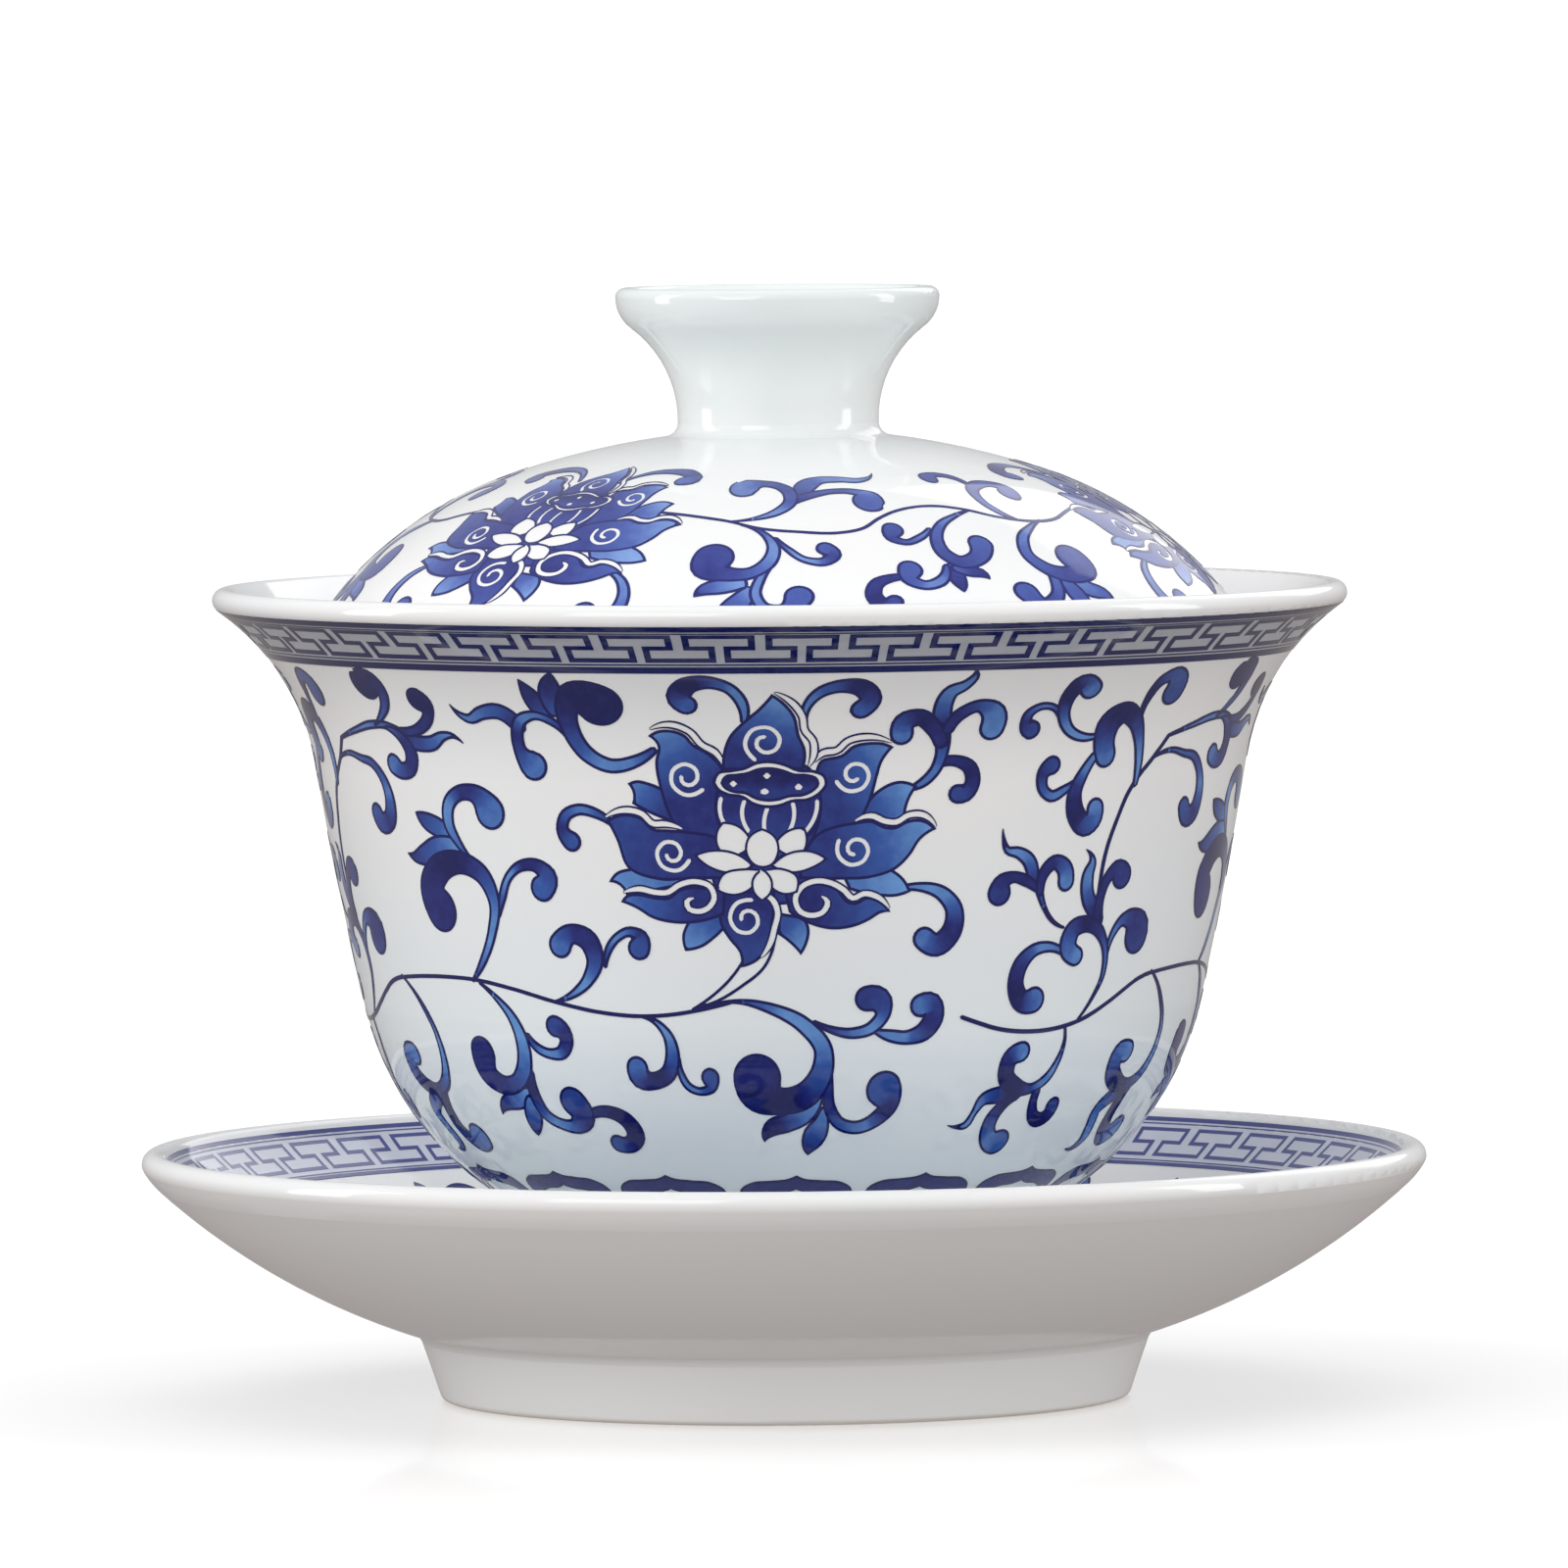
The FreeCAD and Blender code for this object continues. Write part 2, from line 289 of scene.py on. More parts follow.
def mosaic(shapes):
    """Cuts the plane along every shape's edges. Later shapes lie over earlier ones.

    Returns the corner points, and for LINE and for WASH its triangles and the tones at their corners.
    """
    points, edges = [], []
    for shape in shapes:
        for inset in sorted({0, shape.edge}):
            rim = shape.rim(inset)
            if len(rim) > 2:
                first = len(points)
                points.extend(rim)
                edges.extend((first + i, first + (i + 1) % len(rim)) for i in range(len(rim)))
    low, high = np.min(points, axis=0), np.max(points, axis=0)
    across, up = (np.arange(low[k], high[k], GRID) for k in (0, 1))
    points.extend(np.stack(np.meshgrid(across, up), 2).reshape(-1, 2))
    corners, _, faces, *_ = delaunay_2d_cdt([Vector(p) for p in points], edges, [], 0, MERGE, False)
    corners, faces = np.array(corners), np.array(faces)
    middles = corners[faces].mean(1)
    owner = np.full(len(faces), -1)
    kind = np.full(len(faces), WHITE)
    for number, shape in enumerate(shapes):
        low, high = shape.box()
        near = np.nonzero(((middles > low) & (middles < high)).all(1))[0]
        if len(near) == 0:
            continue
        depth = shape.depth(middles[near])[0]
        inside, depth = near[depth > 0], depth[depth > 0]
        owner[inside] = number
        kind[inside] = np.where(depth < shape.edge, LINE, WHITE if shape.white else WASH)
    tones = np.ones((len(faces), 3))
    for number, shape in enumerate(shapes):
        mine = np.nonzero((owner == number) & (kind == WASH))[0]
        if len(mine):
            tones[mine] = shape.depth(corners[faces[mine]].reshape(-1, 2))[1].reshape(-1, 3)
    return corners, {which: (faces[kind == which], tones[kind == which]) for which in (LINE, WASH)}


# ---------------------------------------------------------------- walls to paint on


class Wall:
    """A painted side of a turned CAD node. u runs round it from the front, at a reference radius, and v
    along it towards its widest place, where v is its length. side is FACES_UP or FACES_DOWN.
    """

    def __init__(self, node, radius, length, side, walk_up):
        self.node, self.radius, self.side = node, radius, side
        self.around = 2 * math.pi * radius
        path = self.walk(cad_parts[node].data, length, walk_up)
        away = np.concatenate([[0], np.cumsum(np.hypot(*np.diff(path, axis=0).T))])
        self.v = (length - away)[::-1]
        self.path = path[::-1]
        slope = np.gradient(self.path, self.v, axis=0)
        slope /= np.linalg.norm(slope, axis=1)[:, None]
        self.out = side * np.stack([-slope[:, 1], slope[:, 0]], 1)

    @staticmethod
    def walk(mesh, length, up):
        """The outline's corners, as (radius, height), from the widest one, up or down from there."""
        off_axis = 1  # in mm, which leaves out the corners on the axis
        places = np.array([v.co for v in mesh.vertices]) / MM
        names = [tuple(row) for row in np.round(places[:, [0, 2]], 2)]
        links = {}
        for edge in mesh.edges:
            a, b = edge.vertices
            on_outline = abs(places[[a, b], 1]).max() < SLACK and places[[a, b], 0].min() > off_axis
            if on_outline and names[a] != names[b]:
                links.setdefault(names[a], set()).add(names[b])
                links.setdefault(names[b], set()).add(names[a])
        here = max(links)
        step = sorted(links[here], key=lambda place: place[1])[-1 if up else 0]
        path = [here, step]
        gone = math.dist(here, step)
        while gone < length:
            onward = [place for place in links[path[-1]] if place not in path]
            if not onward:
                break
            step = min(onward, key=lambda place: math.dist(place, path[-1]))
            gone += math.dist(path[-1], step)
            path.append(step)
        return np.array(path)

    def place(self, u, v, lift):
        """Points in metres that far off the wall, and the way it faces there."""
        radius, height = (np.interp(v, self.v, self.path[:, k]) for k in (0, 1))
        out_r, out_z = (np.interp(v, self.v, self.out[:, k]) for k in (0, 1))
        angle = u / self.radius
        around = np.stack([np.sin(angle), -np.cos(angle)], 1)
        where = np.column_stack([around * (radius + out_r * lift)[:, None], height + out_z * lift])
        return where * MM, np.column_stack([around * out_r[:, None], out_z])


def add_film(name, wall, corners, faces, tones, turn, material, top=FILM_TOP):
    """A thin closed film of the triangles, laid on the wall, turned round it by an angle in mm of u."""
    used, faces = np.unique(faces, return_inverse=True)
    faces = faces.reshape(-1, 3)
    flat = corners[used]
    if wall.side > 0:
        faces = faces[:, ::-1]
        tones = tones[:, ::-1]
    count = len(flat)
    upper, facing = wall.place(flat[:, 0] + turn, flat[:, 1], top)
    lower, _ = wall.place(flat[:, 0] + turn, flat[:, 1], FILM_BOTTOM)
    starts, ends = faces.ravel(), np.roll(faces, -1, axis=1).ravel()
    open_edge = ~np.isin(starts * count + ends, ends * count + starts)
    a, b, tone = starts[open_edge], ends[open_edge], tones.ravel()[open_edge]
    walls = np.column_stack([b, a, a + count, b + count])
    mesh = bpy.data.meshes.new(name)
    everything = faces.tolist() + (faces[:, ::-1] + count).tolist() + walls.tolist()
    mesh.from_pydata(np.vstack([upper, lower]).tolist(), [], everything)
    shade = np.concatenate([tones.ravel(), tones[:, ::-1].ravel(), np.repeat(tone, 4)])
    layer = mesh.attributes.new("tone", "FLOAT", "CORNER")
    layer.data.foreach_set("value", shade.astype(np.float32))
    mesh.shade_smooth()
    mesh.normals_split_custom_set_from_vertices(np.vstack([facing, facing]).tolist())
    mesh.materials.append(material)
    film = bpy.data.objects.new(name, mesh)
    bpy.context.scene.collection.objects.link(film)
    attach(film, wall.node)


def paint(name, shapes, wall, repeats, line, wash=None, first_turn=0):
    """Paints the shapes on a wall, evenly repeated round it, in a material for lines and one for washes."""
    corners, parts = mosaic(shapes)
    for number in range(repeats):
        turn = first_turn + number * wall.around / repeats
        add_film(f"{name}_{number + 1}_lines", wall, corners, *parts[LINE], turn, line)
        if wash:
            add_film(f"{name}_{number + 1}_wash", wall, corners, *parts[WASH], turn, wash)


def paint_belt(name, wall, low, high, repeats, material):
    """Colours a belt of the wall between two heights, with a thinner film than the lines that lie over it.
    On the bowl it is painted shade under the lip, on the saucer a lavender tint.
    """
    belt = rectangle(0, wall.around / repeats, low, high, edge=0)
    corners, parts = mosaic([belt])
    for number in range(repeats):
        turn = number * wall.around / repeats
        add_film(f"{name}_{number + 1}", wall, corners, *parts[WASH], turn, material, BELT_TOP)


# ---------------------------------------------------------------- the lotus, in mm


def back_petals():
    """The pale leaves that show between the dark petals."""
    return [
        Petal(((2, -13.5, 49), (7, -10, 47)), [(-11.5, 49.7), (-12.6, 49.9), (-13.4, 49.6)],
              [(-13, 48.9), (-13.1, 47.8)], [(-11.5, 46.9), (-9, 46)], [(-10, 49)]),
        Petal(((1, -15.5, 41), (3, -10, 41)), [(-9, 42), (-13.5, 42), (-15, 41.6), (-15.8, 40.7)],
              [(-14.8, 40.4), (-14.2, 39.4)], [(-8, 40.6)]),
        Petal(((5, -7, 38), (1, -9, 35)), [(-8.4, 37.4), (-9.2, 35.9), (-9, 34.5)],
              [(-7.5, 34.8), (-6, 35.8), (-5, 36.8)], [(-5, 38)]),
        Petal(((5, 0, 37), (1, 2, 35)), [(2.5, 36.4), (2.3, 35.2), (1.7, 34.1)], [(1, 34.9), (-0.4, 36)],
              [(-0.4, 38)], [(2, 37.6)]),
        Petal(((3, 6, 41), (0, 11, 40)), [(9.8, 41.8), (11, 40.9), (11.7, 39.7)],
              [(10.5, 39.3), (9, 39.3), (6, 40)], [(5, 42)]),
        Petal(((5, 8, 47), (1, 11, 49)), [(8.5, 49), (10.3, 49.7), (11.9, 49.2)], [(11.2, 48), (10.9, 46)],
              [(7, 46)], [(7, 47)]),
    ]


def upper_petals():
    """The two dark petals beside the cap, each with a white rim and a white curl."""
    return [
        Petal(((2, -10.5, 54), (7.5, -8, 49)),
              [(-5, 47), (-4.9, 51), (-6.3, 52.6), (-7.3, 53.2), (-8, 54.1), (-9.3, 54.6), (-10.4, 54.5),
               (-11.2, 54)],
              [(-10.5, 53.2), (-10.8, 51.5), (-10.5, 49), (-9.5, 46), (-7, 43.5)], [(-5, 44)]),
        *white_rim((-10.9, 54.7), (-9.2, 55.1), (-7.6, 54.4), (-6.7, 53.2), (-5.5, 52.4), (-4.9, 51.3)),
        white_curl(-8.1, 50.2, 1.75, -40, -1.4),
        Petal(((7, 4, 50), (2, 9, 52.5)),
              [(3.3, 47.5), (2.9, 50.5), (3.3, 51.6), (5.2, 52.2), (6.1, 53), (7.5, 53.3), (8.8, 53.2),
               (9.6, 52.8)],
              [(8.7, 51.5), (8.3, 50), (7.8, 48), (6.8, 46), (5, 44.5)], [(2.5, 44.5)]),
        *white_rim((2.9, 51.6), (3.5, 52.3), (4.8, 52.6), (5.6, 53.4), (7.2, 53.8), (9.3, 53.3)),
        white_curl(6.3, 50.3, 1.65, 200, 1.3),
    ]


def side_petals():
    """The two dark petals that reach out furthest, each with a white rim and a white curl."""
    return [
        Petal(((6, -14.5, 45), (7.5, -9, 42)),
              [(-5.2, 44.5), (-8.5, 45.4), (-10.1, 45.5), (-11.3, 45.6), (-12.2, 46.5), (-13.8, 46.9),
               (-15.6, 46.3)],
              [(-14.8, 44.6), (-13.9, 42), (-11, 40.9), (-8, 41), (-5.2, 41)]),
        *white_rim((-15.6, 46.6), (-13.9, 47.2), (-12.3, 46.9), (-11.3, 46), (-10.3, 46), (-8.8, 45.6)),
        white_curl(-9.8, 43.3, 1.7, -20, -1.4),
        Petal(((7, 5, 42.5), (1, 13, 45)),
              [(3, 45), (6.5, 46.1), (8, 46.2), (9, 45.7), (10, 45.6), (11, 46.1), (12.4, 46.2),
               (13.8, 45.3)],
              [(12.4, 44.4), (11.5, 43), (10.3, 41.8), (8, 41), (5, 40.9), (1.5, 41)]),
        *white_rim((6.5, 46.2), (7.9, 46.6), (9.1, 46.1), (10.1, 46), (11.2, 46.6), (12.5, 46.6),
                   (13.7, 45.6)),
        white_curl(6.5, 43.6, 1.7, 150, 1.3),
    ]


def lower_petals():
    """The three dark petals below. The side ones' white rims curl in at the inner end."""
    return [
        Petal(((8, -4, 38.5), (6, -3.6, 34)),
              [(-0.6, 38.5), (-0.9, 36.5), (-1.3, 34.7), (-2.3, 33.6), (-3.9, 33)],
              [(-3.9, 34.2), (-4.9, 35.6), (-5.6, 36.8), (-5.7, 38.5), (-5, 40)], [(-0.6, 40)]),
        *white_rim((-2, 39.7), (-0.9, 39.2), (-0.4, 38), (-0.7, 36.6), (-1.1, 35.2), (-1.9, 34)),
        white_curl(-3.2, 37.4, 1.8, 75, 1.3),
        Petal(((3, -14, 39.3), (7.5, -8, 38.5)),
              [(-6.8, 40.3), (-8, 40.4), (-9.3, 40.1), (-10.3, 39.4), (-11.3, 39.4), (-13, 39.7),
               (-14.1, 39.6), (-14.8, 38.9)],
              [(-13.3, 38.3), (-12, 37.5), (-9.8, 37), (-7.5, 37.1), (-5.2, 37.8)], [(-5, 40)]),
        *white_rim((-14.4, 39.8), (-13, 40.1), (-11.4, 39.8), (-10.4, 39.8), (-9.2, 40.5), (-7.7, 40.8),
                   (-6.4, 40.3), (-6.1, 39.3), (-6.7, 38.4), (-7.6, 38.1), (-8.5, 38.4), (-8.6, 39),
                   (-8, 39.3)),
        Petal(((8, 3, 37.5), (4, 9.5, 38.3)),
              [(3, 40.7), (5, 40.1), (6.1, 38.9), (6.8, 38.9), (7.5, 39.3), (8.8, 39), (9.9, 37.9)],
              [(9, 37.8), (8, 37.2), (6.5, 36.6), (4.5, 36.4), (2.5, 36.9), (0.6, 38)], [(0, 40.5)]),
        *white_rim((9.7, 38.3), (8.6, 39.3), (7.4, 39.6), (6.4, 39.2), (5.5, 40), (4.4, 40.6), (3, 40.8),
                   (1.8, 40.3), (1.2, 39.2), (1.6, 38.1), (2.6, 37.7), (3.7, 38), (4.1, 38.9), (3.6, 39.4)),
    ]


def lotus_cap():
    """The pointed cap at the top, with its curl."""
    return [
        Petal(((1, -0.3, 57.5), (7.5, -1.5, 52.5)),
              [(-4.9, 52.4), (-4.3, 54), (-3.2, 55.3), (-1.7, 56.8), (-0.7, 58.2)],
              [(0.2, 57.4), (1.2, 55.9), (1.6, 54), (2.1, 52.7), (1.9, 50.8)], [(-5, 50.8)]),
        *white_rim((-0.4, 58.3), (0.9, 57.3), (1.8, 55.8), (2, 54.5), (2.7, 53.5), (2.8, 52.3),
                   (2.4, 51.2)),
        white_curl(-1.3, 53.4, 1.85, 240, -1.4),
    ]


def seed_pod():
    """The pod, its five ribs, and the knot on it with four seeds."""
    knot = [(-5.4, 50.7), (-4.3, 50.9), (-3.2, 51.1), (-2.1, 51.6), (-0.8, 51.7), (0.4, 51.4), (1.5, 50.9),
            (2.8, 50.8), (3.8, 50.3), (4, 49.5), (3.4, 48.6), (2.3, 48), (1, 47.9), (-0.1, 47.5),
            (-1.3, 47.4), (-2.5, 47.7), (-3.4, 48.3), (-4.6, 48.5), (-5.5, 49), (-5.9, 49.7)]
    middle = np.array([-1.0, 49.5])
    inner = [tuple(middle + (np.array(point) - middle) * (0.86, 0.72)) for point in knot]
    ribs = [(-5.2, 48.3, -5.3, 46.9, -4.6, 45.5), (-3.2, 48, -3.4, 46.8, -2.9, 45.4),
            (-1.2, 47.4, -1.5, 46.2, -1.4, 45), (1, 47.8, 1.1, 46.6, 0.6, 45.2),
            (3.1, 48, 2.9, 46.6, 2, 45.2)]
    seeds = [(-4.1, 49.6), (-1.2, 50.3), (-1.4, 48.9), (1.5, 49.3)]
    return [
        Petal(((8, 0, 48), (6, 0, 44)),
              [(-5.8, 47), (-4.4, 44), (-1.5, 42.5), (1.6, 44), (3.4, 46.5), (3.4, 49)], [(-5.6, 49)]),
        *(white_line(0.36, rib[0:2], rib[2:4], rib[4:6]) for rib in ribs),
        Petal(None, knot),
        Petal(((9, 0, 50), (7, 0, 49)), inner),
        *(white_line(0.55, (x - 0.07, y), (x, y), (x + 0.07, y)) for x, y in seeds),
    ]


def white_flower():
    """The small white flower in the middle: its petals are left white, between dark lines."""
    petals = [
        ([(-5.8, 44.2), (-5.7, 45.4), (-5.1, 46.2)], [(-3.6, 45.8), (-2.6, 44.4), (-4.6, 42.8)]),
        ([(2.2, 43.8), (2.3, 44.8), (2, 45.7)], [(0.5, 45.4), (-0.6, 44.2), (1.2, 42.8)]),
        ([(-4, 43.4), (-6, 43.7), (-7.8, 43.2)], [(-6.4, 42), (-4.4, 41.5), (-2.4, 42.2)]),
        ([(0.6, 43.4), (2.4, 43.6), (4.1, 42.8)], [(2.9, 42), (1, 41.5), (-1, 42.2)]),
        ([(-3.4, 42), (-5.3, 41.5), (-5.9, 40)], [(-4.2, 39.5), (-2.7, 40.1), (-1.9, 41.9)]),
        ([(0.1, 42), (1.4, 41.3), (1.4, 39.8)], [(0, 39.6), (-1, 40.2), (-1.4, 41.9)]),
        ([(-2.7, 40.9), (-2.6, 39.8), (-1.8, 39)], [(-0.9, 39.8), (-0.8, 40.8), (-1.7, 42)]),
        ([(-3, 44.7), (-3.2, 43.4), (-2.4, 42.2), (-1.7, 42)],
         [(-0.9, 42.2), (-0.2, 43.4), (-0.4, 44.7), (-1.7, 45.6)]),
    ]
    return [Petal(None, *runs, edge=0.2) for runs in petals]


def lotus():
    """The whole flower, from back to front."""
    heart = Petal(((8, -1, 50), (7, -1, 40)), [(-6.5, 46), (-5, 51), (2.5, 51), (4, 46), (3, 40), (-6, 40)])
    petals = upper_petals() + side_petals() + lower_petals()
    return back_petals() + [heart] + petals + lotus_cap() + seed_pod() + white_flower()


# ---------------------------------------------------------------- the scrolls, in mm

# Each stroke is its tones and then its points (u, v, width). On the bowl, u is 0 below the flower's tip.

# Round the flower
FLOWER_CURLS = [
    ("3225994", (-3, 55.4, 0.7), (-3.1, 57.2, 1.1), (-4.2, 58.9, 1.2), (-6, 59.5, 1.5), (-7.6, 59, 1.9),
     (-8.2, 57.7, 2.1), (-7.7, 57.1, 2)),
    ("2235984", (2, 55, 0.5), (2.2, 57, 0.9), (3.3, 58.4, 1.2), (5, 59, 1.5), (6.6, 58.7, 1.9),
     (7.3, 57.6, 1.9), (6.6, 56.5, 1.9)),
    ("852485", (-15, 45.9, 0.6), (-16.6, 46.9, 1), (-18.2, 47.2, 1.1), (-19.5, 46.6, 1.2),
     (-19.9, 45.4, 1.3), (-19.1, 44.3, 1.9)),
    ("22125973", (10.3, 39.9, 0.5), (12.5, 40.1, 0.9), (14.6, 39.5, 1.4), (16, 37.8, 1.8),
     (15.8, 35.9, 2.1), (14.5, 34.8, 2.2), (13.2, 35.4, 2.2)),
]

# Left of the flower, at the top
TOP_LEFT = [
    ("589", (-20.2, 55.8, 1.2), (-20.8, 57.4, 1.9), (-21.3, 58.8, 1), (-21.6, 59.7, 0.1)),
    ("589", (-19.2, 56.4, 1.4), (-19.1, 58.3, 2.2), (-18.8, 59.6, 1.3), (-18.5, 60.5, 0.1)),
    ("864326", (-23, 54.8, 1.6), (-24.6, 56.2, 1.7), (-26.4, 56, 1.4), (-27.9, 55.4, 1), (-28.9, 55.9, 0.6),
     (-29.5, 56.8, 0.1)),
    ("8632873", (-18.3, 53.6, 0.5), (-19.5, 55.2, 0.9), (-21.2, 55.9, 1), (-22.7, 55.3, 1.3),
     (-23.3, 53.9, 1.3), (-23.2, 52.3, 1.5), (-22.2, 51.1, 2.8)),
    ("6225899", (-10.9, 52.6, 0.8), (-12.6, 51.6, 1.2), (-14.8, 51.2, 1.4), (-16.9, 52.3, 1.6),
     (-18, 54.4, 1.8), (-18, 56.6, 2.2), (-17, 58, 2.9), (-15.1, 57.1, 4.3)),
]

# Further left, at the top
FAR_LEFT = [
    ("2346285", (-49.1, 50.9, 0.3), (-46.6, 51.5, 0.6), (-44.4, 51.1, 0.8), (-42.5, 50.7, 1),
     (-41, 49.2, 1.2), (-40.5, 47.3, 1.6), (-41.1, 45.6, 2), (-42.3, 45.3, 2.1), (-43.1, 46.2, 1.9)),
    ("53246", (-47.4, 52.9, 0.4), (-43.8, 53.8, 0.7), (-40.9, 54.4, 0.9), (-38.6, 54.4, 0.9),
     (-36.4, 53.4, 1.3)),
    ("86422", (-36.6, 53.3, 1.6), (-34.5, 52.8, 1.6), (-33, 52.9, 1.5), (-31.5, 53.6, 1),
     (-30.4, 53.7, 0.6), (-29.3, 53, 0.1)),
    ("2589", (-40.3, 54.4, 0.3), (-38.8, 55.3, 0.8), (-37.5, 56.7, 1.2), (-37.2, 58.2, 1.5),
     (-37.8, 59.2, 2), (-39.1, 58.65, 3.4)),
    ("878899", (-36.6, 53.9, 0.9), (-34, 54.3, 1.2), (-32.6, 55.4, 1.3), (-32.2, 56.7, 1.5),
     (-33, 57.2, 2.5)),
    ("4688863", (-38.7, 54.2, 0.5), (-36.9, 53.3, 1.3), (-36.1, 51.9, 1.7), (-36.6, 50.5, 1.7),
     (-37.8, 50.2, 1.7), (-38.9, 50.75, 2.1)),
]

# Left of the flower, above the main stem
LEFT = [
    ("258", (-32.3, 44.3, 1.6), (-34, 45.2, 2), (-35.6, 45.8, 1.6), (-36.8, 46.5, 0.1)),
    ("1468", (-31.8, 43.5, 1.6), (-34.2, 43.3, 2.4), (-36.4, 42.6, 2), (-38, 42.4, 0.9),
     (-38.9, 42.7, 0.1)),
    ("7321873", (-30.2, 42.3, 0.4), (-31.7, 44, 1), (-32.5, 45.6, 1.4), (-32.2, 47.3, 1.5),
     (-30.7, 48.4, 1.5), (-29, 48.4, 1.8), (-27.4, 46.8, 3.3)),
    ("75218864", (-27.8, 37.4, 0.4), (-27.2, 39, 0.9), (-26.2, 40.9, 0.9), (-24.6, 42, 1.1),
     (-22.9, 42, 1.4), (-21.9, 41, 2), (-22.6, 40, 2.5)),
    ("6312479988", (-32.4, 31.3, 0.4), (-30.6, 33.2, 0.9), (-29, 35.8, 1.1), (-28.2, 38.6, 1.4),
     (-29.2, 41, 1.9), (-31.8, 42.1, 2.2), (-34.6, 41.4, 2.8), (-36.1, 39.6, 3.3), (-35.3, 37.7, 4.2)),
    ("5215883", (-22.6, 29.7, 0.3), (-20.6, 30.4, 0.8), (-18.8, 31.8, 1.3), (-17.9, 33.6, 1.8),
     (-18.5, 35.4, 2.1), (-20.1, 35.9, 1.9), (-21.4, 34.85, 2.4)),
    ("752385", (-16.9, 33, 0.4), (-16.5, 34.4, 0.8), (-15.4, 35.7, 0.9), (-14.2, 36.2, 1),
     (-13.1, 35.7, 1.4), (-13.4, 34.7, 2.2)),
]

# Left of the flower, below the main stem
LOW_LEFT = [
    ("1378", (-28.3, 20.6, 1.8), (-30.2, 20, 2), (-32, 19.6, 1.5), (-33, 18.9, 0.6), (-33.3, 18.4, 0.1)),
    ("258", (-28.4, 20.2, 0.9), (-28.7, 18.6, 2.3), (-29.2, 17.3, 1.6), (-29.4, 16.2, 0.1)),
    ("8899985", (-21.6, 18.6, 1), (-20.2, 19.1, 1.2), (-18.4, 19, 1.5), (-16.9, 18, 1.9),
     (-16.5, 16.6, 2.1), (-17.4, 15.6, 1.9), (-18.9, 15.6, 2.1)),
    ("8951386", (-27.2, 22.8, 1), (-27.5, 20.6, 1.5), (-26.9, 18.6, 1.5), (-25.2, 17.6, 1.4),
     (-23.4, 17.5, 1.8), (-22.2, 18.6, 2.8), (-22.8, 20, 3.3)),
    ("7412886", (-26.5, 26.5, 0.5), (-25.7, 25.4, 1), (-24.2, 24.8, 1.1), (-22.7, 25, 1.4),
     (-22, 26.2, 1.6), (-22.3, 27, 1.8), (-23.1, 27.4, 2.1)),
    ("521135888", (-31.6, 31.1, 0.3), (-29.6, 29.7, 0.7), (-28, 27.9, 1.2), (-27.3, 25.6, 1.7),
     (-27.9, 23.2, 1.9), (-29.4, 21.8, 1.8), (-31.2, 21.5, 2.1), (-33, 22.6, 2.8), (-33, 24.55, 3.3)),
]

# Below the flower
LOW_MIDDLE = [
    ("542265", (-10.3, 24.6, 0.4), (-10.2, 23, 0.8), (-9.5, 21.8, 0.9), (-8.4, 21.4, 0.9),
     (-7.3, 21.8, 1.2), (-7.3, 22.8, 1.9)),
    ("52136983", (-14.4, 28.5, 0.2), (-12.5, 28.1, 0.6), (-11.2, 26.7, 1.1), (-10.9, 24.9, 1.5),
     (-11.6, 23.1, 1.7), (-13.2, 22.4, 1.8), (-14.6, 22.7, 2.2), (-14.7, 23.65, 2.3)),
    ("2369", (4.1, 19.4, 0.8), (3.9, 17.9, 1.9), (3.3, 16.6, 2.6), (2.8, 15.4, 1.5), (2.7, 14.4, 0.1)),
    ("124899", (3.4, 20.6, 1.4), (2.2, 19.1, 2.2), (0.4, 18.1, 2.1), (-1.2, 17.6, 1.9), (-2, 16.6, 0.8),
     (-2.1, 16, 0.1)),
    ("5784295", (4.7, 24.5, 0.5), (4.5, 22, 1.1), (4.8, 19.6, 1.3), (5.9, 18, 1.4), (7.8, 17.5, 1.5),
     (9.6, 18.2, 1.7), (10.9, 19.8, 2.2), (10.25, 21.45, 3.7)),
    ("3226873", (9, 27, 0.6), (10.4, 26.6, 1.2), (12.2, 26.4, 1.4), (13.9, 27, 1.9), (14.7, 28.4, 2.1),
     (14.4, 29.4, 2.1), (13.3, 29.3, 2.2)),
    ("873167", (3, 28, 0.4), (4.8, 27.2, 0.8), (6.8, 26.9, 1.1), (8.6, 27.4, 1.3), (9.6, 28.7, 1.6),
     (9.3, 29.8, 2.3), (8, 30.05, 2.4)),
    ("5741136998", (-7.6, 29.3, 0.2), (-4.5, 29.9, 0.45), (-1, 29.2, 1.1), (2, 27.7, 1.6), (3.9, 25.4, 1.9),
     (3.7, 22.9, 2.4), (2.1, 20.9, 2.8), (-0.4, 20.4, 2.9), (-2.5, 21.2, 3.9), (-2.6, 22.7, 4.8)),
]

# Right of the flower, at the top
FLAME = [
    ("853225", (13.8, 54.8, 1.8), (13.5, 56.8, 1.7), (13.9, 58.1, 1.5), (15.1, 58.9, 1.1),
     (15.7, 59.9, 0.7), (15.6, 60.6, 0.1)),
    ("888976", (13.6, 51.2, 1), (15.2, 51.4, 1.1), (16.6, 50.7, 1.4), (16.9, 49.3, 1.5), (16.3, 48.4, 1.6),
     (15.6, 48.4, 1.8)),
    ("33358", (10.7, 48.9, 0.3), (12.2, 49.4, 0.9), (13.5, 50.8, 1.1), (13.9, 52.4, 1.3),
     (13.6, 54.2, 1.8)),
    ("88973", (13.7, 53.2, 1.4), (12.8, 54.7, 1.6), (11.6, 55.6, 1.7), (10.4, 55.2, 2), (10.2, 54, 2.1)),
    ("88632", (14.2, 54.4, 1.2), (15.2, 55.9, 1.3), (16.8, 56.6, 1.4), (18.1, 55.8, 2.3),
     (18.2, 54.4, 2.4)),
]

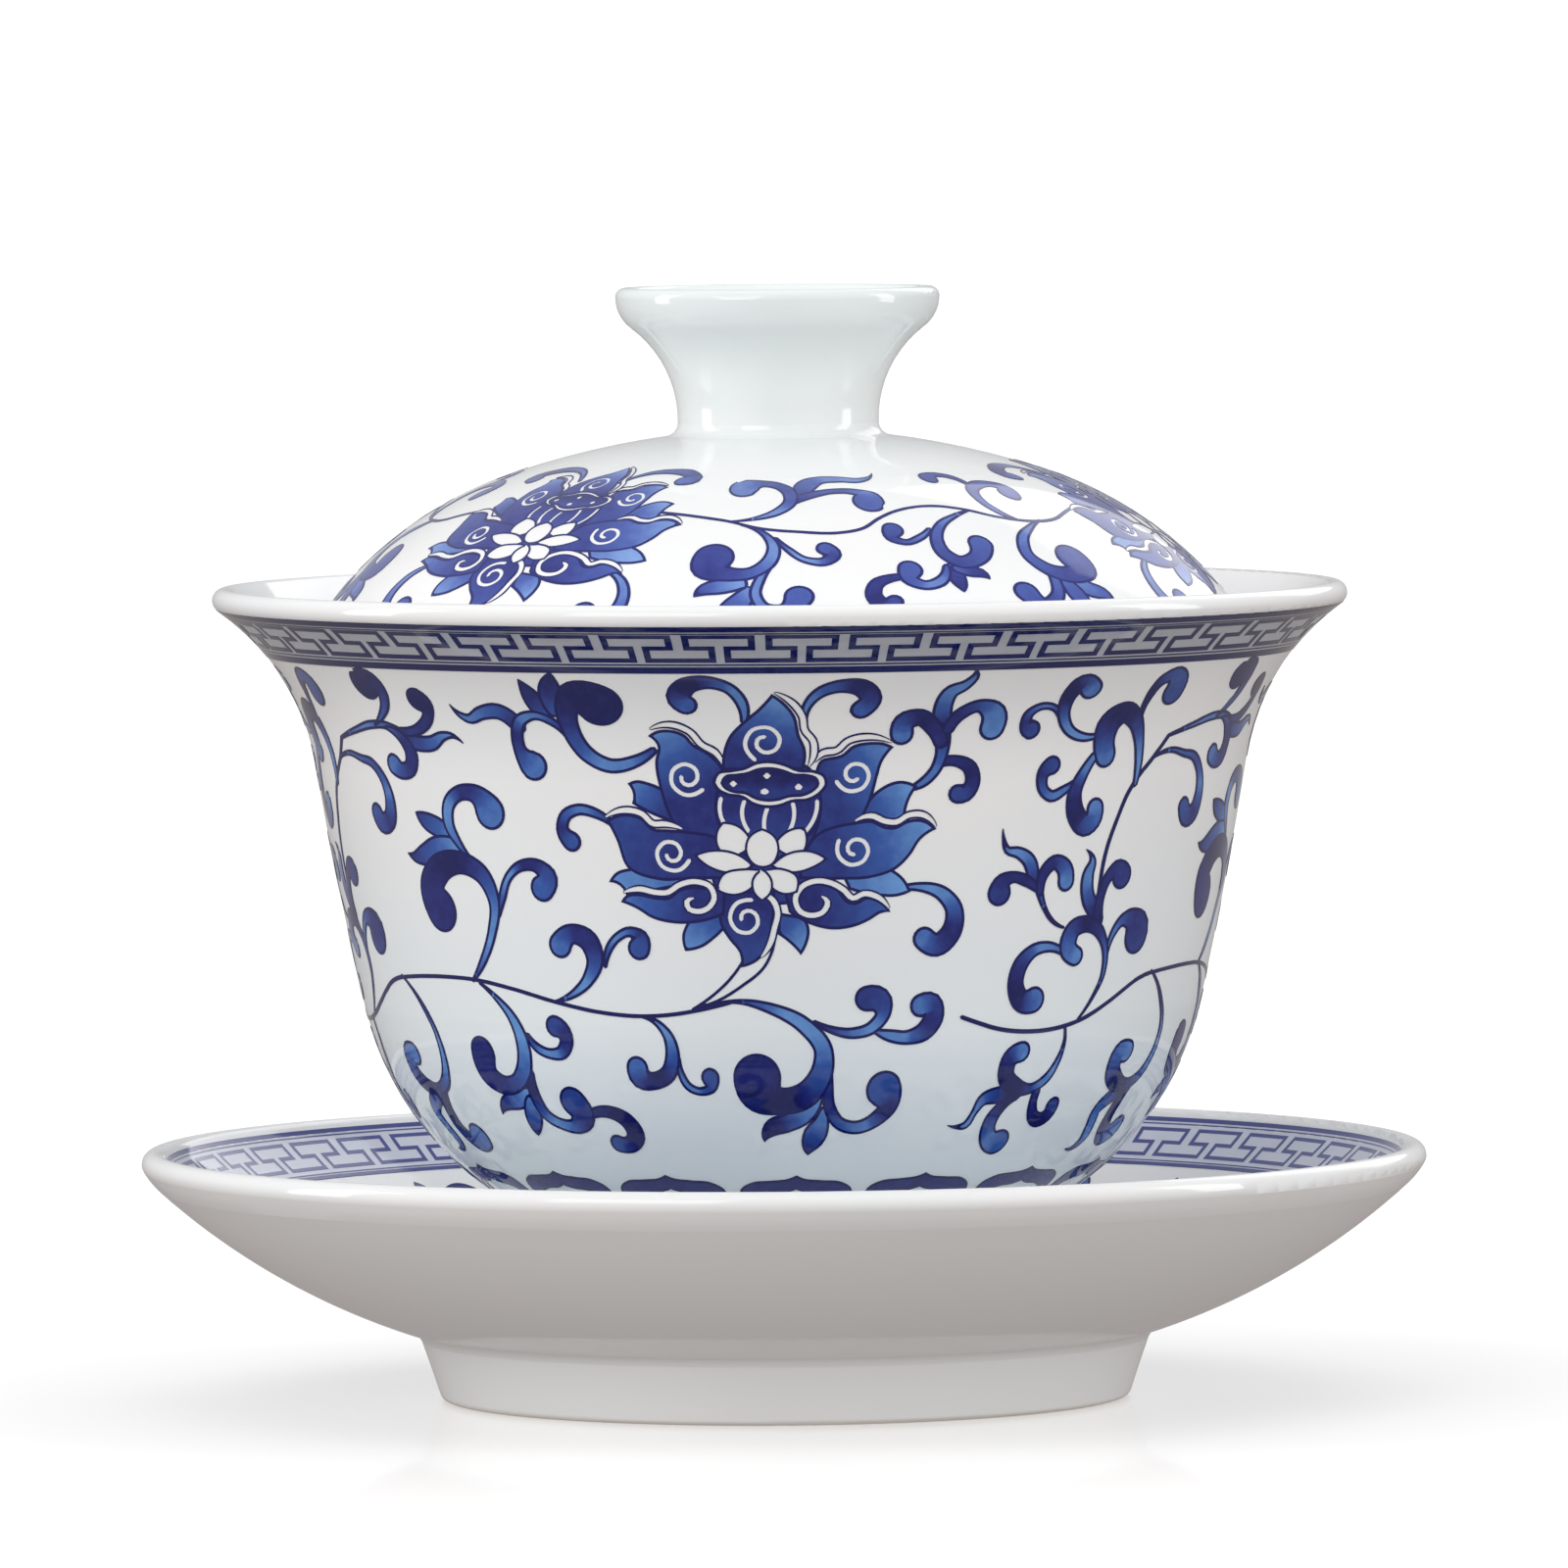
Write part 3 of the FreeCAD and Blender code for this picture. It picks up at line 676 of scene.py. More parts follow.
# Further right, at the top
SEAM_TOP = [
    ("842486", (25.2, 55.4, 0.8), (24, 56.3, 0.8), (22.7, 56.3, 0.9), (21.7, 55.5, 1.1), (21.9, 54.2, 1.5),
     (22.3, 54.1, 2)),
    ("2114993", (30.2, 53.3, 0.6), (28.3, 53.2, 1), (26.5, 54, 1.2), (25.5, 55.6, 1.4), (25.6, 57.5, 1.7),
     (26.6, 58.7, 2), (27.75, 58, 2.3)),
    ("732486", (28.3, 49.2, 0.5), (27, 48.4, 1), (25.5, 47.9, 1.2), (24.5, 48.6, 1.2), (24.4, 50, 1.4),
     (25.3, 50.7, 1.9)),
    ("2279952", (30.3, 51.4, 1), (29.1, 49.8, 1.3), (28.3, 48, 1.7), (28.7, 46.2, 2.1), (30.1, 45.1, 2.2),
     (31, 45.7, 2.2), (31.1, 46.6, 2.1)),
    ("899656", (35.1, 54.8, 0.6), (35.3, 56.9, 1), (36.2, 58.6, 1.4), (37.6, 59.1, 1.9), (38.5, 58.2, 2.6),
     (38.5, 57.2, 2.8)),
    ("21379973", (36.2, 48.6, 0.7), (36.3, 50.6, 1.1), (35.7, 52.8, 1.4), (34.5, 54.6, 1.9),
     (32.9, 55.4, 2.3), (31.3, 54.4, 2.8), (31.1, 52.8, 2.6), (31.6, 51.4, 2.5)),
]

# Further right, in the middle
SEAM_MIDDLE = [
    ("742157", (24.3, 40.5, 1.4), (23.7, 42.1, 1.5), (22.4, 42.9, 1.2), (21.1, 43.2, 0.8),
     (20.6, 44.2, 0.4), (20.45, 45.1, 0.1)),
    ("88887", (24.9, 39.6, 0.9), (23.4, 40.4, 1.2), (21.9, 40.7, 1.2), (20.8, 40.2, 1.8),
     (20.6, 39.3, 2.5)),
    ("6437", (28.8, 35.9, 0.3), (27.2, 36.6, 0.5), (26, 37.9, 0.6), (25.2, 39.5, 1)),
    ("88852", (25.3, 39.3, 1), (25.6, 41, 1.3), (26.8, 41.9, 1.5), (28.1, 41.2, 1.9), (28.4, 40.1, 2)),
    ("85223", (32.6, 37.4, 1.8), (31.4, 38.9, 1.7), (31.2, 40.6, 1.5), (31.6, 41.8, 0.9),
     (30.6, 42.9, 0.1)),
    ("98887", (33.3, 36.4, 1.6), (33.3, 38.6, 1.2), (34.1, 40.3, 1.3), (35.3, 41, 1.8), (36, 40.35, 2.7)),
    ("323687", (35.4, 33, 0.5), (35.9, 35, 0.9), (37.1, 36.2, 1.3), (38.7, 36.2, 2.3), (40, 35.3, 3.3),
     (39.8, 34.7, 3.6)),
    ("32268993", (29, 33.7, 0.8), (27.2, 34.2, 1.1), (25.3, 33.9, 1.4), (23.9, 32.6, 1.8),
     (23.6, 30.8, 1.9), (24.5, 29.4, 2.2), (26.1, 29.4, 2.6)),
    ("88348952", (32.6, 27.4, 0.3), (34.2, 29.2, 0.45), (35.3, 31.3, 0.7), (34.9, 34, 1), (33.6, 35.5, 1.4),
     (31.8, 36.1, 1.7), (30.1, 35.6, 2), (29.7, 34.1, 2.2), (30.9, 33.2, 2)),
]

# Further right, below
SEAM_LOW = [
    ("97531148", (25.2, 20.3, 2), (23.5, 20.4, 1.9), (21.9, 20, 1.5), (21.2, 18.7, 0.9), (20.6, 17.4, 1),
     (19.4, 17.2, 0.5), (18.2, 17.4, 0.1)),
    ("788996", (29, 20.6, 1.1), (29.1, 19.2, 1.2), (29.9, 17.9, 1.5), (31.2, 17.5, 1.8), (32.2, 18.1, 1.9),
     (32.3, 19, 1.9)),
    ("997524", (26.3, 20.1, 0.8), (24.9, 19.4, 1.3), (23.9, 18, 1.8), (23.9, 16.6, 2), (24.6, 15.6, 2.3),
     (26.1, 15.2, 3.1)),
    ("97212699982", (30.9, 26.7, 0.35), (31.2, 25.4, 0.45), (30.9, 23.7, 0.8), (29.9, 21.9, 1.2),
     (27.9, 20.9, 1.2), (25.7, 21.2, 1.9), (24.1, 22.4, 2), (24.2, 24, 2.1), (25.5, 24.6, 2.2)),
]

# The last spray on the right, below
SEAM_LAST = [
    ("97532268", (42, 20, 1.8), (39.7, 19.3, 1.9), (38.3, 18, 1.7), (38.7, 16.2, 1.6), (39, 14.8, 1.5),
     (38.2, 13.8, 0.8), (36.7, 13.7, 0.1)),
    ("999853", (42.5, 20.3, 1.6), (41.8, 18.4, 1.8), (41.9, 16.3, 2), (43.3, 14.9, 2.3), (45.1, 15.5, 3.2)),
    ("99721279952", (40.9, 31.3, 0.3), (42.4, 30.2, 0.4), (43.8, 28.7, 0.6), (45.3, 26, 0.8),
     (45.3, 23.6, 1.1), (44.1, 21.5, 1.4), (41.9, 20.5, 1.4), (39.5, 20.9, 2), (38, 22.2, 2.3),
     (38.1, 23.7, 2.4), (39.5, 23.9, 2.3)),
]

# Along the lid's stem
LID_SPRAYS = [
    ("148", (-3.2, 31.9, 1.4), (-4.6, 32.2, 1.8), (-5.9, 32.5, 1.5), (-6.8, 33.4, 0.1)),
    ("258", (-2.5, 32.6, 1), (-3, 33.8, 2), (-4, 34.8, 1.6), (-4.8, 35.6, 0.1)),
    ("732365", (-0.4, 29.2, 0.5), (-1.6, 31.4, 1), (-1.9, 33.2, 1.1), (-1.1, 34.7, 1.2), (0.4, 34.9, 1.5),
     (1.55, 33.4, 2.5)),
    ("841285", (-0.3, 26, 0.4), (0.8, 27.6, 0.8), (2.3, 29, 0.9), (3.9, 29.2, 1.2), (4.8, 28.3, 1.4),
     (4.1, 27.5, 1.8)),
    ("85224787", (-3.6, 24, 0.3), (-1.4, 25.4, 0.8), (-0.5, 27.3, 1.3), (-0.9, 29.2, 1.5),
     (-2.4, 30.6, 1.5), (-4.4, 30.7, 1.9), (-6.1, 29.9, 2.8), (-5.7, 28.6, 3.7)),
    ("753225", (2.6, 18.4, 2.2), (3.4, 16.8, 2.6), (5, 15.7, 1.8), (7.6, 15.5, 1.4), (10.2, 15.8, 1.1),
     (11.9, 15.2, 0.6), (12.9, 14.1, 0.1)),
    ("8766535", (1.8, 19.8, 1.4), (3.6, 18.9, 1.3), (6, 18.2, 1.1), (8.6, 18.3, 1.3), (10.5, 19.3, 2),
     (9.8, 20.3, 3.6)),
    ("6226763", (-4.8, 23.4, 0.2), (-2.4, 23, 0.6), (-0.3, 22, 1.2), (1.2, 20.2, 1.6), (1.2, 18.3, 1.8),
     (-0.2, 16.8, 1.5), (-2.3, 16.4, 1.7), (-4.1, 17.3, 3.7)),
    ("688", (15, 30.2, 1.2), (15, 31.7, 1.6), (15.1, 32.5, 1), (15.1, 33.2, 0.1)),
    ("589", (15.3, 30.4, 1.2), (16.4, 30.8, 1.4), (17.3, 31, 1.2), (17.9, 31.8, 0.1)),
    ("88897", (10.8, 31.3, 0.8), (9.2, 31.4, 1), (7.9, 32.1, 1.3), (7.5, 33.5, 1.5), (8.3, 34.6, 1.6),
     (9.1, 34.1, 1.5)),
    ("63265", (14.4, 30.2, 0.8), (13.5, 31.8, 1.2), (11.9, 32.3, 1.2), (10.8, 31.5, 1.6),
     (11.1, 30.4, 2.3)),
    ("43486", (14.6, 25, 0.6), (13.2, 26.2, 0.9), (11.6, 26.8, 0.9), (10.5, 26.1, 1.3), (10.9, 25, 2.2)),
    ("42356765", (20.6, 22.2, 0.3), (18.2, 23.1, 0.7), (16.1, 24.4, 1.1), (14.8, 26.4, 1.4),
     (14.8, 28.4, 1.6), (16, 29.6, 1.7), (17.9, 29, 1.9), (18.9, 27.3, 2.5)),
    ("246", (26, 32.4, 1.8), (27.3, 33.4, 2), (28.6, 34, 1.4), (29.2, 35, 0.1)),
    ("467", (25.2, 32.3, 1.2), (25.6, 34, 2), (26, 35.6, 1.2), (26.2, 36.6, 0.1)),
    ("54685", (24, 30.2, 0.6), (24.2, 32.2, 1.2), (23.5, 34, 1.4), (21.9, 34.9, 1.6), (20.7, 33.4, 2.4)),
    ("43345776", (28.2, 24.2, 0.3), (26, 25.2, 0.8), (23.9, 26.8, 1.3), (23.1, 28.9, 1.5),
     (24.3, 30.9, 1.8), (26.4, 31.6, 2.2), (28.3, 30.9, 2.6), (27.9, 29.6, 3.6)),
    ("67766", (24.6, 17.8, 0.6), (24.2, 15.9, 1.2), (22.6, 14.9, 1.2), (21.2, 14.9, 1.4),
     (20.2, 15.6, 2.4)),
    ("53466575", (25.6, 24.1, 0.3), (24.1, 22.7, 0.9), (23.4, 20.5, 1.2), (24, 18.6, 1.5),
     (25.8, 17.5, 1.6), (28, 17.4, 1.4), (29.6, 18.4, 1.9), (28.8, 19.5, 2.6)),
]

# Round the lid's flower
LID_FLOWER_CURLS = [
    ("223465", (-14.6, 30.4, 0.6), (-13.2, 31.6, 1), (-12.6, 33.4, 1.2), (-13, 35.2, 1.4),
     (-14.4, 36.2, 1.5), (-15.6, 35.1, 2.2)),
    ("223465", (-35.6, 30.4, 0.6), (-37, 31.6, 1), (-37.6, 33.4, 1.2), (-37.2, 35.2, 1.4),
     (-35.8, 36.2, 1.5), (-34.7, 35, 2.2)),
    ("334684", (-21, 16.2, 0.5), (-19, 14, 0.9), (-15.5, 13.2, 1.3), (-12.3, 13.9, 1.9), (-11.2, 15.2, 2.2),
     (-12.6, 15.7, 1.9)),
    ("334795", (-28, 16, 0.5), (-30.5, 13.9, 0.9), (-34, 13.2, 1.3), (-37.5, 14, 1.9), (-39, 15.3, 2.2),
     (-37.6, 16, 1.9)),
]


def scrolls(strokes):
    return [Stroke(tones, points) for tones, *points in strokes]


def shift_all(shapes, scale=(1, 1), shift=(0, 0)):
    return [shape.moved(np.array(scale, float), np.array(shift, float)) for shape in shapes]


def bowl_stems():
    """The flower's white neck and the main stem."""
    return [
        Stroke(None,
               [(-8.6, 29.2, 0.2), (-6.4, 30.2, 0.9), (-4.2, 31.8, 1.5), (-2.4, 33.8, 2.3),
                (-1.7, 36, 2.4)]),
        dark_line(0.36, (-44.3, 31.1), (-40, 31.4), (-36, 31.5), (-32.3, 31.4), (-27.5, 30.7),
                  (-22.5, 29.6), (-18, 28.8), (-13.5, 28.5), (-10.5, 28.7), (-8, 29.1), (-5, 29.8)),
    ]


def seam_stems():
    """The stems to the right of the flower."""
    return [
        dark_line(0.42, (17.6, 28.1), (19.3, 27.6), (22, 26.9), (26, 26.5), (30, 26.7), (33, 27.3),
                  (37, 28.8), (39, 29.7), (41.2, 30.6), (43.6, 31.1)),
        dark_line(0.45, (33, 38), (33, 40), (33.1, 41.6), (33.5, 43.5), (34.3, 45.6), (35.3, 47.7),
                  (36.6, 49.3), (38.3, 50.8), (40.2, 52.9)),
    ]


def bowl_pattern():
    """One third of the scroll round the bowl. Its flower stands at the front.

    What is drawn further right than the flame moves to the left, squeezed a little, so that the thirds join.
    """
    seam = seam_stems() + scrolls(SEAM_TOP + SEAM_MIDDLE + SEAM_LOW)
    shapes = bowl_stems() + shift_all(seam, SEAM_SQUEEZE, SEAM_SHIFT)
    shapes += scrolls(FLOWER_CURLS + TOP_LEFT + FAR_LEFT + LEFT + LOW_LEFT + LOW_MIDDLE + FLAME)
    shapes += shift_all(scrolls(SEAM_LAST), shift=SEAM_LAST_SHIFT)
    return shapes + lotus()


def lid_pattern():
    """One third of the scroll round the lid. v runs down from the knob, so its flower is turned over."""
    stem = dark_line(0.36, (-42, 23.9), (-38, 22.6), (-30, 21.5), (-20, 21.5), (-12, 22), (-8, 22.7),
                     (-5, 23.4), (-2, 24.5), (2, 25.1), (5.5, 25.3), (8, 24.7), (10, 23.2), (12, 22.1),
                     (14.5, 21.4), (17, 21.3), (20, 22), (23, 23.3), (26.5, 24.2), (29, 24.3), (31.3, 23.9))
    lotus_middle = np.array([-1.6, 43.5])
    place = np.array([-24.5, 25.6])
    scale = np.array([0.97, -0.91])
    flower = shift_all(lotus(), scale, place - scale * lotus_middle)
    return [stem] + scrolls(LID_SPRAYS + LID_FLOWER_CURLS) + flower


# ---------------------------------------------------------------- the bands


def fret_unit(pitch, low, high):
    """One step of the T-fret: a line that turns back over itself. The next unit goes on from it."""
    steps = [(0.79, 1), (0, 1), (0, 0.5), (0.3, 0.5), (0.3, 0), (-0.51, 0), (-0.51, 0.5), (-0.21, 0.5),
             (-0.21, 1)]
    return [(pitch * x, low + (high - low) * y) for x, y in steps]


def ribbon(points, width):
    """A dark line of straight runs with square corners, as one shape for each run."""
    half = width / 2
    shapes = []
    for (x0, y0), (x1, y1) in zip(points, points[1:]):
        left, right = min(x0, x1) - half, max(x0, x1) + half
        low, high = min(y0, y1) - half, max(y0, y1) + half
        shapes.append(rectangle(left, right, low, high, width))
    return shapes


def band(units, pitch, fret_low, fret_high, line, rings):
    """A part of the fret band, with the plain rings above and below it, each given as (v, width)."""
    shapes = []
    for number in range(units):
        unit = [(x + number * pitch, y) for x, y in fret_unit(pitch, fret_low, fret_high)]
        shapes += ribbon(unit, line)
    for height, width in rings:
        shapes += ribbon([(0, height), (units * pitch, height)], width)
    return shapes


def lappets(count, pitch):
    """A row of lappets that many mm apart."""
    first, base = 1.5, 1.3
    shapes = []
    for number in range(count):
        shapes += shift_all(lappet(), shift=(first + number * pitch, base))
    return shapes


def lappet():
    """A broad petal with a pointed top that stands on the bowl's foot, open in the middle."""
    outer = [(0, 10.5), (0.8, 10.1), (3, 9.8), (5.6, 9.5), (6.9, 8.7), (7.4, 7.3), (7.3, 5), (6.8, 2.6),
             (6.3, 1)]
    inner = [(0, 8.8), (1.2, 8.4), (3.6, 8.1), (5.2, 7.4), (5.8, 6.2), (5.7, 4.4), (5.2, 2.4), (4.9, 1)]
    shapes = []
    for points, shade in ((outer, ((8, 0, 10), (6, 0, 1))), (inner, None)):
        mirrored = [(-x, y) for x, y in points[::-1]]
        shapes.append(Petal(shade, points[1:], mirrored[:1], mirrored[1:]))
    return shapes


# ---------------------------------------------------------------- materials


def new_material(name):
    material = bpy.data.materials.new(name)
    material.use_nodes = True
    shader = material.node_tree.nodes["Principled BSDF"]
    return material, material.node_tree, shader


def noise(tree, scale, detail=3.0):
    """Noise fixed to the object, at that many spots a metre."""
    where = tree.nodes.new("ShaderNodeTexCoord")
    texture = tree.nodes.new("ShaderNodeTexNoise")
    texture.inputs["Scale"].default_value = scale
    texture.inputs["Detail"].default_value = detail
    tree.links.new(where.outputs["Object"], texture.inputs["Vector"])
    return texture.outputs["Fac"]


def ramp(tree, source, stops):
    """A colour from a value, through the stops, each (value, colour)."""
    node = tree.nodes.new("ShaderNodeValToRGB")
    for number, (value, colour) in enumerate(stops):
        stop = node.color_ramp.elements[number] if number < 2 else node.color_ramp.elements.new(value)
        stop.position = value
        stop.color = (*colour, 1)
    tree.links.new(source, node.inputs["Fac"])
    return node.outputs["Color"]


def spread(tree, source, low, high, to_low=0.0, to_high=1.0):
    """A value mapped from one range to another."""
    node = tree.nodes.new("ShaderNodeMapRange")
    for name, value in (("From Min", low), ("From Max", high), ("To Min", to_low), ("To Max", to_high)):
        node.inputs[name].default_value = value
    tree.links.new(source, node.inputs["Value"])
    return node.outputs["Result"]


def height(tree):
    """The height of the point above the table, in metres, when the piece is at rest."""
    where = tree.nodes.new("ShaderNodeTexCoord")
    split = tree.nodes.new("ShaderNodeSeparateXYZ")
    tree.links.new(where.outputs["Object"], split.inputs["Vector"])
    return split.outputs["Z"]


def mix(tree, share, first, second):
    """Two colours mixed by a share. Each colour is an output or three numbers, and the share an output."""
    first_colour, second_colour, mixed_colour = 6, 7, 2
    node = tree.nodes.new("ShaderNodeMix")
    node.data_type = "RGBA"
    tree.links.new(share, node.inputs["Factor"])
    for number, value in ((first_colour, first), (second_colour, second)):
        if isinstance(value, tuple):
            node.inputs[number].default_value = (*value, 1)
        else:
            tree.links.new(value, node.inputs[number])
    return node.outputs[mixed_colour]


def glaze(tree, shader):
    """A clear, slightly uneven glaze over whatever colour the shader has."""
    smoothest, roughest = GLAZE_ROUGHNESS * 0.8, GLAZE_ROUGHNESS * 1.25
    uneven = spread(tree, noise(tree, 90, detail=2.0), 0.3, 0.7, smoothest, roughest)
    tree.links.new(uneven, shader.inputs["Roughness"])
    shader.inputs["IOR"].default_value = 1.5


def porcelain(name, colour, tinted_from, tinted_to, foot):
    """White porcelain, tinted more and more from one height to another, with a bare clay rim at its foot.

    The heights are in metres. NO_FOOT is far below the piece, for one that has none.
    """
    material, tree, shader = new_material(name)
    mottle = noise(tree, 60, detail=4.0)
    white = mix(tree, spread(tree, mottle, 0.35, 0.65), WARM_WHITE, COOL_WHITE)
    pooled = spread(tree, height(tree), tinted_from, tinted_to)
    glazed = mix(tree, pooled, white, colour)
    bare = spread(tree, height(tree), foot + 0.25 * MM, foot + 0.45 * MM, 1, 0)
    tree.links.new(mix(tree, bare, glazed, BISCUIT), shader.inputs["Base Color"])
    glaze(tree, shader)
    return material


def cobalt(name, stops, drift):
    """Cobalt under the glaze. The tone painted on the film, drifting a little, gives its depth."""
    material, tree, shader = new_material(name)
    tone = tree.nodes.new("ShaderNodeAttribute")
    tone.attribute_name = "tone"
    grain = spread(tree, noise(tree, 900), 0.3, 0.7, -drift, drift)
    total = tree.nodes.new("ShaderNodeMath")
    total.operation = "ADD"
    total.use_clamp = True
    tree.links.new(tone.outputs["Fac"], total.inputs[0])
    tree.links.new(grain, total.inputs[1])
    tree.links.new(ramp(tree, total.outputs["Value"], stops), shader.inputs["Base Color"])
    glaze(tree, shader)
    return material


def tint_and_painted_shade(name, colour):
    """A pale, slightly patchy colour under the glaze: painted shade on the bowl's band under the lip, a tint
    on the saucer's band.
    """
    material, tree, shader = new_material(name)
    paler = tuple(part * 1.04 for part in colour)
    patches = spread(tree, noise(tree, 400), 0.35, 0.65)
    tree.links.new(mix(tree, patches, colour, paler), shader.inputs["Base Color"])
    glaze(tree, shader)
    return material


# ---------------------------------------------------------------- the stage


def add_camera():
    """Far away and a little higher than the knob, aimed at the middle of the piece and tipped a little."""
    distance, eye_height, beside, aim_height = 1.5, 0.130, 0.00026, 0.0553
    roll = math.radians(0.45)
    aim = Vector((beside, 0, aim_height))
    camera = bpy.data.objects.new("camera", bpy.data.cameras.new("camera"))
    bpy.context.scene.collection.objects.link(camera)
    camera.location = (beside, -distance, eye_height)
    camera.rotation_mode = "QUATERNION"
    look = (aim - camera.location).to_track_quat("-Z", "Y")
    camera.rotation_quaternion = look @ Quaternion((0, 0, 1), -roll)
    camera.data.sensor_width = 36
    camera.data.lens = 382.7
    camera.data.clip_end = 50
    bpy.context.scene.camera = camera


def add_light(name, place, size, power):
    """A soft white panel that faces the piece."""
    middle = Vector((0, 0, 0.05))
    data = bpy.data.lights.new(name, "AREA")
    data.shape = "RECTANGLE"
    data.size, data.size_y = size
    data.energy = power
    light = bpy.data.objects.new(name, data)
    bpy.context.scene.collection.objects.link(light)
    light.location = place
    light.rotation_mode = "QUATERNION"
    light.rotation_quaternion = (middle - light.location).to_track_quat("-Z", "Y")
    return light


def floor_mesh():
    """A flat round floor that bends up into a backdrop all round, far from the piece."""
    flat, bend, steps, sides = 3.0, 1.5, 12, 96
    profile = [(0.4, 0), (flat, 0)]
    for angle in np.linspace(0, math.pi / 2, steps)[1:]:
        profile.append((flat + bend * math.sin(angle), bend - bend * math.cos(angle)))
    verts = [(0, 0, 0)]
    for radius, rise in profile:
        for turn in np.linspace(0, 2 * math.pi, sides, endpoint=False):
            verts.append((radius * math.cos(turn), radius * math.sin(turn), rise))
    faces = [(0, 1 + k, 1 + (k + 1) % sides) for k in range(sides)]
    for ring in range(len(profile) - 1):
        first = 1 + ring * sides
        for k in range(sides):
            on = (k + 1) % sides
            faces.append((first + k, first + sides + k, first + sides + on, first + on))
    mesh = bpy.data.meshes.new("floor")
    mesh.from_pydata(verts, [], faces)
    mesh.shade_smooth()
    return mesh


def floor_material():
    """A shiny pale grey that glows, least by the piece, where its shadow and mirror image show."""
    material, tree, shader = new_material("floor")
    shades = [(0.3, (0.88, 0.88, 0.88)), (0.7, (0.90, 0.90, 0.90))]
    tree.links.new(ramp(tree, noise(tree, 2, detail=2.0), shades), shader.inputs["Base Color"])
    shader.inputs["Roughness"].default_value = 0.05
    shader.inputs["Emission Color"].default_value = (1, 1, 1, 1)
    where = tree.nodes.new("ShaderNodeTexCoord")
    away = tree.nodes.new("ShaderNodeVectorMath")
    away.operation = "LENGTH"
    tree.links.new(where.outputs["Object"], away.inputs[0])
    glow = spread(tree, away.outputs["Value"], GLOW_STARTS, GLOW_ENDS, FLOOR_GLOW_NEAR, FLOOR_GLOW_FAR)
    tree.links.new(glow, shader.inputs["Emission Strength"])
    return material


def add_floor():
    """The floor. The piece takes no light from it and doesn't mirror it, so the glow stays off the glaze."""
    mesh = floor_mesh()
    mesh.materials.append(floor_material())
    floor = bpy.data.objects.new("floor", mesh)
    bpy.context.scene.collection.objects.link(floor)
    floor.visible_diffuse = False
    floor.visible_glossy = False


def add_world():
    """White above, and the warm grey of a table below, which is what the undersides see."""
    world = bpy.data.worlds.new("studio")
    world.use_nodes = True
    tree = world.node_tree
    background = tree.nodes["Background"]
    where = tree.nodes.new("ShaderNodeTexCoord")
    split = tree.nodes.new("ShaderNodeSeparateXYZ")
    tree.links.new(where.outputs["Generated"], split.inputs["Vector"])
    below, above = 0.42, 0.56  # the share of the way from straight down to straight up
    stops = [(0.0, TABLE_LIGHT), (below, TABLE_LIGHT), (above, SKY_LIGHT), (1.0, SKY_LIGHT)]
    up = spread(tree, split.outputs["Z"], -1, 1)
    tree.links.new(ramp(tree, up, stops), background.inputs["Color"])
    background.inputs["Strength"].default_value = 1.0
    bpy.context.scene.world = world


def add_ceiling_light():
    """One broad soft light from above and a little behind."""
    data = bpy.data.lights.new("ceiling", "SUN")
    data.energy = 0.7
    data.angle = math.radians(50)
    sun = bpy.data.objects.new("ceiling", data)
    bpy.context.scene.collection.objects.link(sun)
    sun.rotation_euler = (math.radians(-12), 0, 0)
    sun.visible_glossy = False


# ---------------------------------------------------------------- the three pieces


def set_material(node, material):
    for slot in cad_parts[node].material_slots:
        slot.material = material


def paint_bowl():
    """The scroll, the fret under the lip on a grey ground of painted shade, and the lappets over the foot.
    """
    skin = porcelain("bowl_porcelain", ICE_BLUE, tinted_from=0.055, tinted_to=0.020, foot=0.0082)
    set_material("bowl", skin)
    wall = Wall("bowl", radius=41.0, length=67.5, side=FACES_DOWN, walk_up=False)
    line = cobalt("cobalt_line", BLUES, LINE_DRIFT)
    wash = cobalt("cobalt_wash", BLUES, WASH_DRIFT)
    paint("bowl_scroll", bowl_pattern(), wall, THIRDS, line, wash)
    # painted shade: a grey belt under the fret darkens the wall where the lip's flare faces down
    grey = tint_and_painted_shade("band_painted_shade", BAND_PAINTED_SHADE)
    paint_belt("bowl_band_painted_shade", wall, low=60.8, high=66.35, repeats=THIRDS, material=grey)
    units = 42  # of the fret, all the way round
    rings = [(66.3, 0.75), (60.85, 0.75), (61.5, 0.16), (65.65, 0.16)]
    fret = band(units // THIRDS, wall.around / units, fret_low=62.05, fret_high=65.2, line=0.52, rings=rings)
    paint("bowl_fret", fret, wall, THIRDS, line, first_turn=-0.8)
    count, films = 16, 4  # of the lappets, all the way round
    paint("bowl_lappets", lappets(count // films, wall.around / count), wall, films, line, wash)


